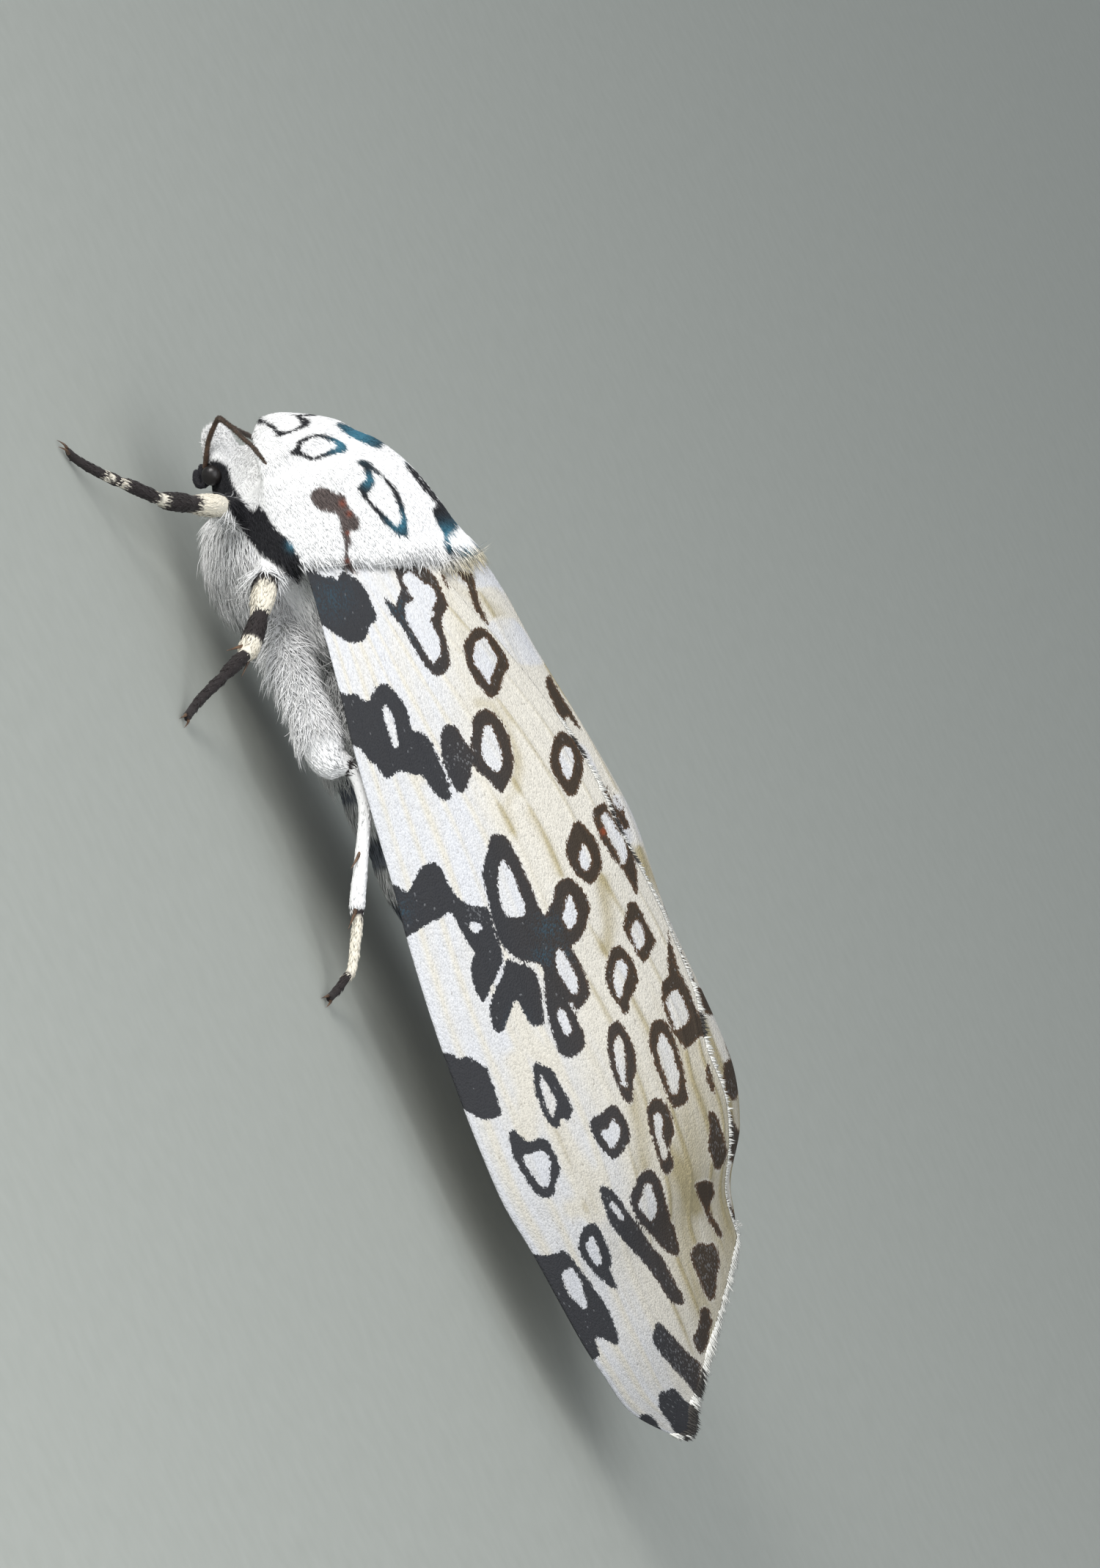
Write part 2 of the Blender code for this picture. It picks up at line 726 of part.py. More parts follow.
def make_abdomen():
    rings = []
    first, last = ABDOMEN[0][0], ABDOMEN[-1][0]
    count = 22
    for i in range(count + 1):
        x = first + (last - first) * i / count
        height, width, tall = at(ABDOMEN, x)
        swell = 0.97 + 0.03 * abs(math.sin(math.pi * ABDOMEN_SEGMENTS * i / count))
        ring = []
        for s in range(20):
            turn = 2 * math.pi * s / 20
            y = width * swell * math.cos(turn)
            ring.append(Vector((x, y, height + tall * swell * math.sin(turn))))
        rings.append(ring)
    verts, faces = capped(rings, middle(rings[0]), middle(rings[-1]) + Vector((0.25, 0, 0)))
    body = add_body("abdomen", verts, faces, BLUE_BLACK, 0.6)
    fuse(body, tail_locks(BVHTree.FromPolygons([Vector(v) for v in verts], faces)))


def tail_locks(tree):
    """Locks around the end of the abdomen and along its sides below."""
    pieces = []
    for k in range(8):
        turn = math.radians(45 * k + 20)
        ray = Vector((0, math.cos(turn), math.sin(turn)))
        hit, normal = surface_spot(tree, Vector((6.6, 0, 4.15)), ray)
        aim = Vector((1.0, 0, 0)) + normal * 0.12
        pieces.append(lock(hit - normal * 0.3, aim, normal.cross(aim), 2.0, 0.9, 0.5))
    for row in range(5):
        for turn in (205, 235, 305, 335):
            turn = math.radians(turn)
            ray = Vector((0, math.cos(turn), math.sin(turn)))
            hit, normal = surface_spot(tree, Vector((-6.5 + 2.5 * row, 0, 4.8)), ray)
            aim = Vector((1.0, 0, 0)) + normal * 0.25
            pieces.append(lock(hit - normal * 0.3, aim, normal.cross(aim), 1.3, 0.9, 0.5))
    return pieces


# Head

def head_point(turn, lift):
    ray = Vector((math.cos(lift), math.sin(lift) * math.cos(turn), math.sin(lift) * math.sin(turn)))
    point = Vector([ray[k] * HEAD_RADII[k] for k in range(3)])
    near = max(ray.dot(FACE_WAY.normalized()), 0.0)
    point += FACE_WAY * FACE_LENGTH * near**1.5
    point.y = min(max(point.y, -HEAD_FLAT), HEAD_FLAT)
    return HEAD_MIDDLE + point


def make_head():
    rings = []
    for i in range(1, 16):
        rings.append([head_point(2 * math.pi * s / 20, math.pi * i / 16) for s in range(20)])
    verts, faces = capped(rings, head_point(0, 0), head_point(0, math.pi))
    body = add_body("head", verts, faces, WHITE, 0.8)
    tree = BVHTree.FromPolygons([Vector(v) for v in verts], faces)
    fuse(body, crown_locks(tree))
    return tree


def crown_locks(tree):
    """The upright tuft between the feelers, and short locks over the face."""
    pieces = []
    for across, up in ((-0.3, 0.55), (0.3, 0.55), (0.0, 0.3), (-0.22, -0.1), (0.22, -0.1)):
        ray = Vector((-1.0, across, up)).normalized()
        hit, normal = surface_spot(tree, HEAD_MIDDLE, ray)
        aim = normal + Vector((-0.3, 0, 0.5))
        pieces.append(lock(hit - normal * 0.25, aim, Vector((0, 1, 0)), 0.55, 0.42, 0.34))
    return pieces


def make_eye(name, side):
    rings = []
    for lift in (0.0, 0.12, 0.4, 0.72, 1.02, 1.3):
        reach = EYE_DEPTH * math.sin(lift)
        wide = EYE_RADIUS * math.cos(lift)
        ring = []
        for s in range(16):
            turn = 2 * math.pi * s / 16
            x = EYE_MIDDLE.x + wide * math.cos(turn)
            z = EYE_MIDDLE.z + wide * math.sin(turn)
            ring.append(Vector((x, -side * (EYE_MIDDLE.y - reach), z)))
        rings.append(ring)
    top = Vector((EYE_MIDDLE.x, -side * (EYE_MIDDLE.y - EYE_DEPTH), EYE_MIDDLE.z))
    verts, faces = capped(rings, middle(rings[0]), top)
    add_body(name, verts, faces, BLACK, 0.1)


def make_feeler(name, path, colour, sides, tree):
    rings = seated(tube_rings(path, sides), tree)
    verts, faces = capped(rings, middle(rings[0]), middle(rings[-1]))
    add_body(name, verts, faces, colour, 0.5)


def claws(path):
    end = Vector(path[-1][:3])
    ahead = end - Vector(path[-2][:3])
    ahead.z = 0
    ahead.normalize()
    across = Vector((-ahead.y, ahead.x, 0))
    pieces = []
    for turn in (-1, 1):
        root = end - ahead * 0.12 + across * (0.1 * turn) + Vector((0, 0, 0.02))
        tip = end + ahead * CLAW_LENGTH + across * (0.2 * turn) + Vector((0, 0, -0.16))
        pieces.append(spike(root, tip, 0.12))
    return pieces


def spurs(path, pairs):
    pieces = []
    for index, length in pairs:
        root = Vector(path[index][:3])
        ahead = (Vector(path[index + 1][:3]) - root).normalized()
        across = ahead.cross(Vector((0, 0, 1))).normalized()
        for turn in (-1, 1):
            aim = (ahead + across * (0.5 * turn) + Vector((0, 0, -0.3))).normalized()
            start = root + across * (path[index][3] * 0.4 * turn)
            pieces.append(spike(start, start + aim * length, 0.16))
    return pieces


def make_leg(name, path, pairs, tree):
    rings = seated(tube_rings(path, LEG_SIDES), tree)
    for ring in rings:
        for point in ring:
            point.z = max(point.z, 0.0)
    verts, faces = capped(rings, middle(rings[0]), middle(rings[-1]))
    body = add_body(name, verts, faces, BROWN, 0.6)
    fuse(body, claws(path) + spurs(path, pairs))


def main():
    clear_scene()
    thorax = make_thorax()
    make_abdomen()
    head = make_head()
    make_eye("eye_left", -1)
    make_eye("eye_right", 1)
    make_feeler("antenna_left", ANTENNA, BROWN, 8, head)
    make_feeler("antenna_right", FAR_ANTENNA, BROWN, 8, head)
    make_feeler("palp_left", PALP, BLACK, 8, head)
    make_feeler("palp_right", mirrored(PALP), BLACK, 8, head)
    forewing("forewing_left", -1, UPPER_EDGE, LAP_STEP, 0.0, thorax)
    forewing("forewing_right", 1, LOWER_EDGE, -LAP_STEP, LOWER_TIP_SHIFT, thorax)
    hindwing("hindwing_left", -1)
    hindwing("hindwing_right", 1)
    legs = (("fore", FORE_LEG, FAR_FORE_LEG), ("mid", MID_LEG, mirrored(MID_LEG)),
            ("hind", HIND_LEG, mirrored(HIND_LEG)))
    for name, left, right in legs:
        make_leg(f"leg_{name}_left", left, SPURS[name], thorax)
        make_leg(f"leg_{name}_right", right, SPURS[name], thorax)


main()
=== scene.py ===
import math

import bpy
import numpy as np
from mathutils import Matrix, Vector


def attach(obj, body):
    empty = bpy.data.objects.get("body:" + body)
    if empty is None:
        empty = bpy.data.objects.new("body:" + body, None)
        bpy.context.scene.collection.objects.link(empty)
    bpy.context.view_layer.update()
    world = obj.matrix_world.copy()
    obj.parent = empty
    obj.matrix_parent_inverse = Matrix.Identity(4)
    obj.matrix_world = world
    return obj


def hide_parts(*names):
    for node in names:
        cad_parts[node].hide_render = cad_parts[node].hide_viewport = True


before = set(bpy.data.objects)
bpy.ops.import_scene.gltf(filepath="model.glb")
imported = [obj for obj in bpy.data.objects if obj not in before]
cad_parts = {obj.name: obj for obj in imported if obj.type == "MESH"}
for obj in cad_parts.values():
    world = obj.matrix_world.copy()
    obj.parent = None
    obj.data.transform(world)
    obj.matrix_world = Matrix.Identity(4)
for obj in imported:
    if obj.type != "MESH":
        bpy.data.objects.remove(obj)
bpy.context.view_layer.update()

# Lengths are in millimetres unless a name says px, which is a pixel of a 1500 by 2139 picture.
MM = 0.001
SHIFT_X = 0.8
RANDOM = np.random.default_rng(61)

# Picture frame: pixels to a millimetre, the turn of the camera around the moth, its roll
PX_PER_MM = 35.0
AZIMUTH = math.radians(-6)
ELEVATION = math.radians(10)
ROLL = (0.4226, 0.9063)
FAR_AWAY = 500.0
PICTURE = (1500.0, 2139.0)
PX_ORIGIN = (39.43, -2.85)

RIGHT = np.array([math.cos(AZIMUTH), math.sin(AZIMUTH), 0.0])
UP = np.array([-math.sin(AZIMUTH) * math.sin(ELEVATION), math.cos(AZIMUTH) * math.sin(ELEVATION),
               math.cos(ELEVATION)])
TOWARD = np.cross(RIGHT, UP)

# Wing roof: x, half width at the costal edge, its height, height of the ridge
ROOF = (
    (-14.65, 4.25, 5.3, 10.4),
    (-12.5, 5.3, 5.05, 11.0),
    (-10.2, 6.2, 4.74, 11.3),
    (-7.5, 7.0, 4.26, 11.45),
    (-2.5, 7.7, 3.45, 11.95),
    (0.0, 8.0, 3.0, 12.0),
    (4.1, 8.4, 2.46, 11.5),
    (9.9, 8.9, 2.07, 11.3),
    (12.6, 8.7, 2.24, 10.45),
    (14.5, 8.4, 2.3, 9.1),
    (16.8, 7.9, 2.35, 8.3),
    (18.1, 7.5, 2.45, 7.8),
    (20.05, 6.6, 2.64, 7.0),
    (22.0, 5.0, 3.63, 6.2),
)
ROOF_ROUND = 0.55
CREST_ROUND = 0.06
UPPER_EDGE = (
    (-12.5, 0.4), (-11.7, 0.36), (-10.8, 0.33), (-9.5, 0.28), (-7.6, 0.21), (-5.9, 0.174), (-4.6, 0.163),
    (-2.6, 0.157), (0.0, 0.165), (2.4, 0.11), (3.8, 0.085), (6.8, 0.1), (9.0, 0.165), (11.2, 0.155),
    (13.0, 0.16), (14.5, 0.13), (16.3, 0.08),
)
LOWER_EDGE = (
    (-12.5, -0.42), (-11.2, -0.4), (-9.5, -0.36), (-6.0, -0.33), (0.0, -0.32), (8.0, -0.3), (12.0, -0.25),
    (14.5, -0.14), (15.7, -0.04), (16.2, 0.03),
)
OUTER_EDGE = (
    (0.0, 16.25, 0.06), (0.1, 16.9, 0.13), (0.25, 18.1, 0.26), (0.4, 19.2, 0.38), (0.55, 20.15, 0.5),
    (0.72, 21.1, 0.67), (0.86, 21.75, 0.82), (0.95, 21.95, 0.93), (1.0, 21.8, 1.0),
)
# x where the costal edge starts, and how far the right forewing's tip lies ahead of the left one's
COSTAL_START = -14.25
LOWER_TIP_SHIFT = -0.8
HIND_EDGES = (
    (-10.4, 0.46, 0.58), (-9.0, 0.32, 0.72), (-5.0, 0.22, 0.84), (0.0, 0.2, 0.87), (6.0, 0.2, 0.87),
    (10.0, 0.28, 0.84), (12.5, 0.42, 0.74), (13.3, 0.54, 0.64),
)
WING_THICK = 0.1
LAP_STEP = 0.14
HIND_DROP = 1.0

# Thorax rings: x at top, side, bottom, height at top, side, bottom, half width
THORAX = (
    (-20.6, -20.2, -20.2, 5.9, 5.3, 4.95, 1.2),
    (-20.35, -19.7, -19.7, 6.65, 5.4, 4.85, 2.7),
    (-19.3, -18.8, -18.4, 8.0, 5.4, 4.7, 3.75),
    (-18.5, -18.1, -17.95, 8.9, 5.3, 3.6, 4.1),
    (-18.0, -17.7, -17.8, 9.3, 5.2, 2.5, 4.15),
    (-17.2, -17.1, -17.6, 9.8, 5.2, 1.75, 4.35),
    (-16.2, -16.5, -16.9, 10.25, 5.2, 1.3, 4.5),
    (-14.9, -15.9, -15.9, 10.6, 5.2, 1.15, 4.65),
    (-13.4, -15.4, -14.9, 10.85, 5.2, 1.1, 4.7),
    (-12.2, -15.0, -14.3, 11.0, 5.2, 1.1, 4.55),
    (-11.95, -14.8, -13.9, 9.8, 5.1, 1.1, 3.5),
    (-11.5, -13.2, -12.8, 9.5, 5.0, 1.15, 3.4),
    (-11.0, -11.7, -11.6, 9.1, 4.9, 1.3, 3.2),
    (-10.7, -10.95, -10.8, 8.5, 4.7, 1.7, 2.6),
    (-10.55, -10.65, -10.5, 7.6, 4.5, 2.6, 1.7),
)
# Abdomen rings: x, height of the middle, half width, half height
ABDOMEN = (
    (-11.6, 4.8, 1.9, 1.8),
    (-9.8, 4.9, 2.5, 2.5),
    (-8.6, 5.0, 3.1, 3.05),
    (-7.2, 5.0, 3.3, 3.25),
    (-4.6, 4.95, 3.4, 3.3),
    (-2.0, 4.85, 3.35, 3.2),
    (0.6, 4.7, 3.1, 3.0),
    (3.0, 4.5, 2.7, 2.6),
    (5.2, 4.3, 2.1, 2.05),
    (6.9, 4.15, 1.4, 1.4),
    (7.9, 4.1, 0.6, 0.6),
)
ABDOMEN_SEGMENTS = 7
# Legs of the left side: x, y, z, radius
FORE_LEG = (
    (-17.2, -2.2, 4.2, 0.5), (-18.15, -3.75, 3.5, 0.5), (-18.5, -4.4, 3.2, 0.5), (-18.8, -4.95, 2.85, 0.42),
    (-18.9, -5.15, 2.73, 0.37), (-19.0, -5.4, 2.62, 0.43), (-19.25, -5.95, 2.38, 0.46),
    (-19.5, -6.45, 2.13, 0.42), (-19.65, -6.7, 2.0, 0.31), (-19.85, -6.95, 1.9, 0.34),
    (-20.75, -8.0, 1.4, 0.34), (-20.95, -8.22, 1.25, 0.28), (-21.15, -8.4, 1.12, 0.31),
    (-21.7, -8.9, 0.78, 0.29), (-22.3, -9.35, 0.45, 0.28), (-22.75, -9.65, 0.26, 0.27),
    (-23.1, -9.9, 0.22, 0.26),
)
FAR_FORE_LEG = (
    (-17.2, 2.2, 4.2, 0.5), (-17.6, 4.0, 3.3, 0.5), (-17.55, 4.7, 3.0, 0.48), (-17.5, 5.2, 2.75, 0.4),
    (-17.5, 5.45, 2.62, 0.37), (-17.45, 5.75, 2.5, 0.42), (-17.35, 6.3, 2.2, 0.44),
    (-17.25, 6.85, 1.95, 0.4), (-17.2, 7.15, 1.8, 0.31), (-17.15, 7.45, 1.68, 0.33),
    (-17.0, 8.5, 1.15, 0.33), (-16.95, 8.8, 1.0, 0.28), (-16.9, 9.05, 0.88, 0.3),
    (-16.85, 9.6, 0.62, 0.29), (-16.8, 10.2, 0.38, 0.28), (-16.8, 10.6, 0.26, 0.27),
    (-16.8, 10.95, 0.22, 0.26),
)
MID_LEG = (
    (-15.5, -2.6, 4.1, 0.55), (-14.85, -4.45, 3.85, 0.54), (-14.4, -5.05, 3.6, 0.52),
    (-14.05, -5.4, 3.38, 0.44), (-13.9, -5.55, 3.28, 0.38), (-13.75, -5.75, 3.15, 0.45),
    (-13.35, -6.2, 2.8, 0.5),
    (-13.0, -6.6, 2.48, 0.5), (-12.9, -6.95, 2.3, 0.36), (-12.85, -7.25, 2.17, 0.37),
    (-12.7, -8.3, 1.7, 0.35), (-12.65, -8.6, 1.55, 0.28), (-12.6, -8.9, 1.42, 0.32),
    (-12.4, -10.2, 0.75, 0.29), (-12.2, -11.2, 0.34, 0.28), (-12.1, -12.0, 0.22, 0.26),
)
HIND_LEG = (
    (-13.3, -1.9, 3.1, 0.6), (-11.6, -4.2, 3.15, 0.68), (-9.6, -5.35, 3.25, 0.78),
    (-8.5, -5.8, 3.25, 0.9), (-7.75, -6.0, 3.35, 0.84), (-7.4, -6.0, 3.68, 0.58),
    (-7.0, -6.05, 3.95, 0.36), (-5.6, -6.4, 3.8, 0.34), (-4.1, -7.05, 3.05, 0.36), (-2.7, -7.9, 2.3, 0.4),
    (-2.3, -8.1, 2.11, 0.38), (-2.06, -8.25, 2.05, 0.28), (-1.8, -8.45, 1.92, 0.31),
    (-0.45, -9.3, 1.15, 0.28), (-0.3, -9.6, 0.9, 0.28), (-0.1, -10.1, 0.55, 0.27),
    (0.0, -10.7, 0.28, 0.27), (0.0, -11.3, 0.22, 0.25),
)
# Spurs of a leg: number of the path's point that they start at, length
SPURS = {"fore": (), "mid": ((7, 1.05),), "hind": ((8, 0.95), (10, 1.1))}
CLAW_LENGTH = 0.5
ANTENNA = (
    (-19.6, -0.75, 2.95, 0.24), (-20.05, -1.02, 3.28, 0.24), (-20.55, -1.3, 3.68, 0.25),
    (-20.9, -1.52, 4.08, 0.26), (-21.17, -1.85, 4.48, 0.26), (-21.1, -2.6, 4.75, 0.26),
    (-20.75, -3.6, 5.15, 0.26), (-20.35, -4.8, 5.55, 0.25), (-19.95, -6.1, 6.0, 0.25),
    (-19.6, -7.4, 6.35, 0.22), (-19.3, -8.6, 6.65, 0.14),
)
FAR_ANTENNA = (
    (-19.6, 0.75, 2.95, 0.24), (-20.05, 1.02, 3.28, 0.24), (-20.5, 1.35, 3.55, 0.25),
    (-20.68, 1.8, 3.72, 0.26), (-20.6, 2.4, 3.76, 0.26), (-20.4, 3.2, 3.8, 0.26),
    (-20.05, 4.3, 3.8, 0.26), (-19.7, 5.5, 3.8, 0.25), (-19.35, 6.8, 3.75, 0.22),
    (-19.1, 7.9, 3.65, 0.14),
)
PALP = (
    (-19.1, -0.5, 2.95, 0.17), (-19.03, -0.62, 2.66, 0.19), (-19.1, -0.68, 2.48, 0.21),
    (-19.28, -0.71, 2.46, 0.21), (-19.42, -0.72, 2.5, 0.19), (-19.52, -0.72, 2.54, 0.15),
    (-19.57, -0.72, 2.56, 0.08),
)
HEAD_MIDDLE = np.array([-19.4, 0.0, 3.65])
HEAD_RADII = (1.05, 1.33, 0.88)
FACE_WAY = np.array([-0.97, 0.0, 0.08])
FACE_LENGTH = 0.55
EYE_MIDDLE = np.array([-19.25, -1.05, 3.12])
EYE_RADIUS = 0.4
EYE_DEPTH = 0.28
EYE_BACK = 0.35

# Markings of the left forewing in picture pixels: an outline, then any pale middles
WING_MARKS = (
    ("425,779 446,790 458,790 464,795 471,782 480,788 499,803 515,840 516,849 508,858 499,877 478,878 "
     "449,859 440,857 430,850 427,840 416,805 413,795",),
    ("547,748 556,757 592,786 604,808 612,829 606,842 604,855 612,882 615,910 600,924 584,913 563,880 "
     "556,866 533,835 528,819 543,831 544,825 549,806 545,796 541,778 543,757",
     "551,795 556,785 561,782 566,788 574,793 581,800 590,803 597,822 591,833 594,842 589,850 600,872 "
     "603,895 594,906 588,903 577,884 557,850 556,838 556,826 567,823 560,812 556,803"),
    ("603,783 609,793 615,806 608,799",),
    ("648,860 666,863 694,903 688,924 679,950 665,950 642,918 636,897 633,888 636,876",
     "650,880 662,872 667,880 677,895 679,904 671,924 668,935 655,916 649,908 647,898"),
    ("648,978 664,968 684,984 697,1012 701,1042 699,1058 693,1070 687,1080 681,1079 663,1058 648,1030 "
     "643,1012 646,1000 645,988",
     "660,1000 663,992 670,990 675,1001 684,1026 685,1040 683,1050 676,1052 662,1038 658,1024"),
    ("763,999 778,1004 790,1025 795,1036 793,1062 785,1083 778,1086 770,1080 754,1056 750,1042 753,1014",
     "766,1021 773,1018 779,1025 782,1038 778,1060 772,1062 768,1054 763,1033"),
    ("458,931 471,948 490,949 498,956 506,958 512,950 516,940 532,936 556,965 563,992 570,999 580,1002 "
     "594,1020 616,1078 615,1090 605,1090 598,1085 584,1066 578,1058 566,1057 548,1052 531,1062 517,1044 "
     "509,1039 495,1022 482,1016 477,1000 462,950",
     "527,965 532,965 541,984 545,1008 547,1018 543,1021 538,1014 526,975"),
    ("606,995 621,990 634,1010 652,1031 668,1060 655,1055 647,1043 643,1060 638,1073 632,1081 624,1078 "
     "612,1055 604,1025",),
    ("808,1104 823,1095 829,1103 858,1155 864,1166 868,1195 868,1220 852,1192 823,1152 811,1122",
     "820,1112 825,1108 831,1116 852,1150 853,1172 848,1178 843,1168 821,1123"),
    ("784,1121 790,1120 797,1127 812,1144 820,1170 820,1182 815,1194 806,1204 797,1202 780,1184 771,1158 "
     "778,1131",
     "792,1156 795,1150 799,1154 806,1171 799,1187 789,1173"),
    ("763,1200 778,1196 795,1214 804,1235 795,1272 778,1288 766,1283 757,1270 745,1258 747,1240 754,1225 "
     "757,1210",
     "772,1224 776,1219 781,1225 786,1250 776,1266 767,1250 771,1232"),
    ("670,1140 687,1138 701,1156 727,1213 738,1240 757,1256 770,1275 793,1315 803,1345 801,1358 788,1375 "
     "782,1373 797,1412 795,1425 785,1435 772,1437 762,1430 758,1418 746,1375 741,1325 736,1311 712,1306 "
     "691,1292 677,1267 662,1204 659,1190 668,1150",
     "683,1177 688,1172 694,1180 707,1206 711,1220 717,1235 713,1247 693,1247 682,1222 680,1195",
     "758,1298 762,1290 770,1300 785,1328 788,1343 785,1353 777,1348 763,1326 758,1312",
     "760,1375 764,1371 771,1378 779,1398 776,1407 770,1405 761,1385",
     "776,1363 781,1365 784,1374 779,1372"),
    ("691,1306 700,1308 724,1317 735,1335 741,1380 742,1390 735,1395 725,1393 719,1385 709,1365 703,1360 "
     "699,1370 690,1395 684,1403 676,1400 672,1390 670,1363 688,1320",),
    ("532,1207 540,1205 548,1208 555,1214 561,1211 573,1188 582,1178 591,1175 600,1178 606,1186 617,1210 "
     "638,1230 660,1235 667,1237 671,1250 678,1276 687,1300 679,1325 666,1352 661,1363 649,1343 644,1315 "
     "648,1302 648,1295 641,1285 621,1248 617,1242 611,1243 605,1250 594,1253 563,1271 554,1275 548,1262 "
     "535,1220",
     "641,1256 658,1257 658,1265 652,1270 646,1268"),
    ("600,1432 616,1431 624,1437 632,1438 640,1435 663,1449 668,1458 682,1500 685,1513 665,1520 655,1518 "
     "635,1506 622,1500 617,1485 605,1450",),
    ("728,1445 733,1443 740,1448 750,1452 758,1463 778,1500 780,1512 775,1521 763,1520 762,1532 748,1524 "
     "731,1487 728,1458",
     "736,1462 741,1463 753,1486 759,1496 755,1515 750,1512 741,1492 738,1478"),
    ("695,1538 702,1534 709,1541 722,1551 730,1547 740,1545 748,1551 761,1577 764,1588 757,1608 756,1618 "
     "750,1625 735,1622 719,1603 701,1568",
     "713,1570 720,1567 740,1561 751,1578 749,1590 751,1602 745,1611 738,1609 718,1583"),
    ("853,1233 858,1229 865,1229 870,1235 886,1268 892,1278 892,1287 882,1305 877,1311 871,1305 852,1272 "
     "849,1262 854,1240",
     "867,1253 873,1260 879,1280 872,1294 867,1290 860,1272 859,1265"),
    ("835,1290 843,1287 850,1292 863,1310 866,1320 870,1330 867,1343 858,1362 857,1374 853,1379 848,1377 "
     "830,1348 824,1325 830,1300",
     "846,1306 855,1322 849,1342 844,1360 836,1340 837,1317"),
    ("840,1389 847,1394 863,1424 867,1452 863,1465 861,1490 862,1500 850,1495 835,1462 827,1420 829,1397",
     "842,1409 850,1424 852,1464 855,1478 850,1478 845,1468 836,1428"),
    ("886,1395 890,1390 904,1388 919,1416 930,1455 935,1482 938,1492 935,1500 920,1508 914,1502 903,1480 "
     "886,1430 883,1417",
     "897,1412 901,1406 906,1412 915,1428 921,1453 925,1465 922,1487 916,1489 911,1481 896,1432"),
    ("901,1340 909,1331 910,1320 909,1290 911,1268 914,1285 926,1326 932,1335 958,1395 962,1405 963,1420 "
     "957,1411 948,1417 936,1427 930,1425 910,1390 902,1365",
     "909,1358 921,1348 928,1356 936,1377 938,1388 924,1401 917,1393 909,1370"),
    ("965,1449 970,1468 974,1490 965,1479 961,1458",),
    ("884,1498 899,1494 911,1510 918,1534 917,1545 911,1562 918,1583 911,1595 905,1596 900,1588 889,1552 "
     "881,1516",
     "890,1517 895,1513 901,1518 903,1527 901,1538 903,1550 909,1567 906,1577 901,1574 898,1563 892,1538"),
    ("803,1524 809,1517 818,1514 832,1502 839,1503 851,1519 858,1542 856,1552 844,1569 837,1575 831,1571 "
     "815,1555 806,1536",
     "818,1537 822,1534 829,1533 832,1524 836,1522 845,1538 834,1560 820,1543"),
    ("860,1618 866,1608 868,1598 881,1589 888,1591 900,1608 913,1657 918,1668 924,1694 923,1708 906,1700 "
     "880,1670 872,1662 861,1640 858,1628",
     "869,1631 875,1622 876,1613 881,1608 887,1612 895,1644 887,1659 880,1653 870,1640"),
    ("817,1612 822,1610 837,1620 861,1655 870,1665 883,1687 904,1712 914,1733 932,1768 920,1774 905,1757 "
     "882,1722 841,1675 828,1653 819,1625",
     "830,1635 834,1631 839,1637 850,1653 849,1660 843,1655 832,1641"),
    ("801,1661 815,1666 833,1708 831,1718 832,1728 841,1749 827,1744 824,1738 818,1736 802,1718 789,1697 "
     "791,1675",
     "802,1681 807,1678 812,1686 820,1710 815,1718 808,1712 798,1692"),
    ("716,1697 722,1700 745,1703 765,1697 772,1700 784,1713 820,1764 833,1788 842,1813 843,1822 838,1826 "
     "823,1817 815,1815 811,1818 817,1838 812,1842 807,1846 800,1840 785,1822 772,1797 757,1775 720,1710",
     "766,1730 778,1720 790,1735 797,1757 800,1768 796,1777 783,1764 776,1757"),
    ("964,1518 968,1513 978,1524 990,1568 984,1588 977,1594 972,1586 964,1562 966,1535",),
    ("944,1612 950,1608 968,1608 973,1627 967,1647 983,1677 985,1684 979,1685 966,1664 948,1621",),
    ("941,1702 946,1694 953,1691 962,1694 970,1692 975,1697 981,1720 977,1735 975,1758 971,1770 960,1762 "
     "944,1720 940,1712",),
    ("952,1783 958,1779 965,1781 970,1800 966,1812 965,1825 955,1843 943,1823 948,1812 953,1791",),
    ("892,1802 897,1797 909,1808 937,1840 951,1852 955,1858 950,1893 946,1895 932,1877 902,1842 889,1822",),
    ("897,1897 901,1890 906,1892 912,1888 919,1889 933,1904 946,1917 946,1926 938,1946 930,1951 923,1954 "
     "912,1935 899,1915",),
    ("871,1928 875,1921 888,1924 898,1940 905,1956 897,1955 880,1942",),
)
# Where the right forewing shows past the left one
STRIP_MARKS = (
    ("620,779 635,783 645,785 649,800 656,828 663,842 667,856 652,838 641,812 638,800",),
    ("748,921 753,928 768,955 777,967 792,996 784,991 773,977 768,985 752,955 744,932",),
    ("818,1066 826,1078 838,1098 850,1110 856,1122 859,1127 850,1131 845,1122 820,1078",),
    ("828,1072 843,1092 852,1107 846,1101",),
    ("904,1226 912,1242 921,1262 914,1255 907,1240",),
    ("922,1283 948,1342 953,1352 947,1350 940,1338 928,1308",),
    ("950,1347 957,1347 963,1354 973,1376 977,1384 962,1381 953,1358",),
    ("988,1420 994,1422 999,1432 1011,1465 1006,1492 1001,1500 995,1497 988,1485 985,1455 989,1446 "
     "995,1443",),
    ("992,1517 997,1517 1000,1530 1015,1558 1002,1588 997,1584 988,1560 987,1545 991,1532",),
    ("980,1612 985,1622 996,1645 1003,1656 1006,1667 1004,1674 998,1670 986,1645 979,1620",),
)
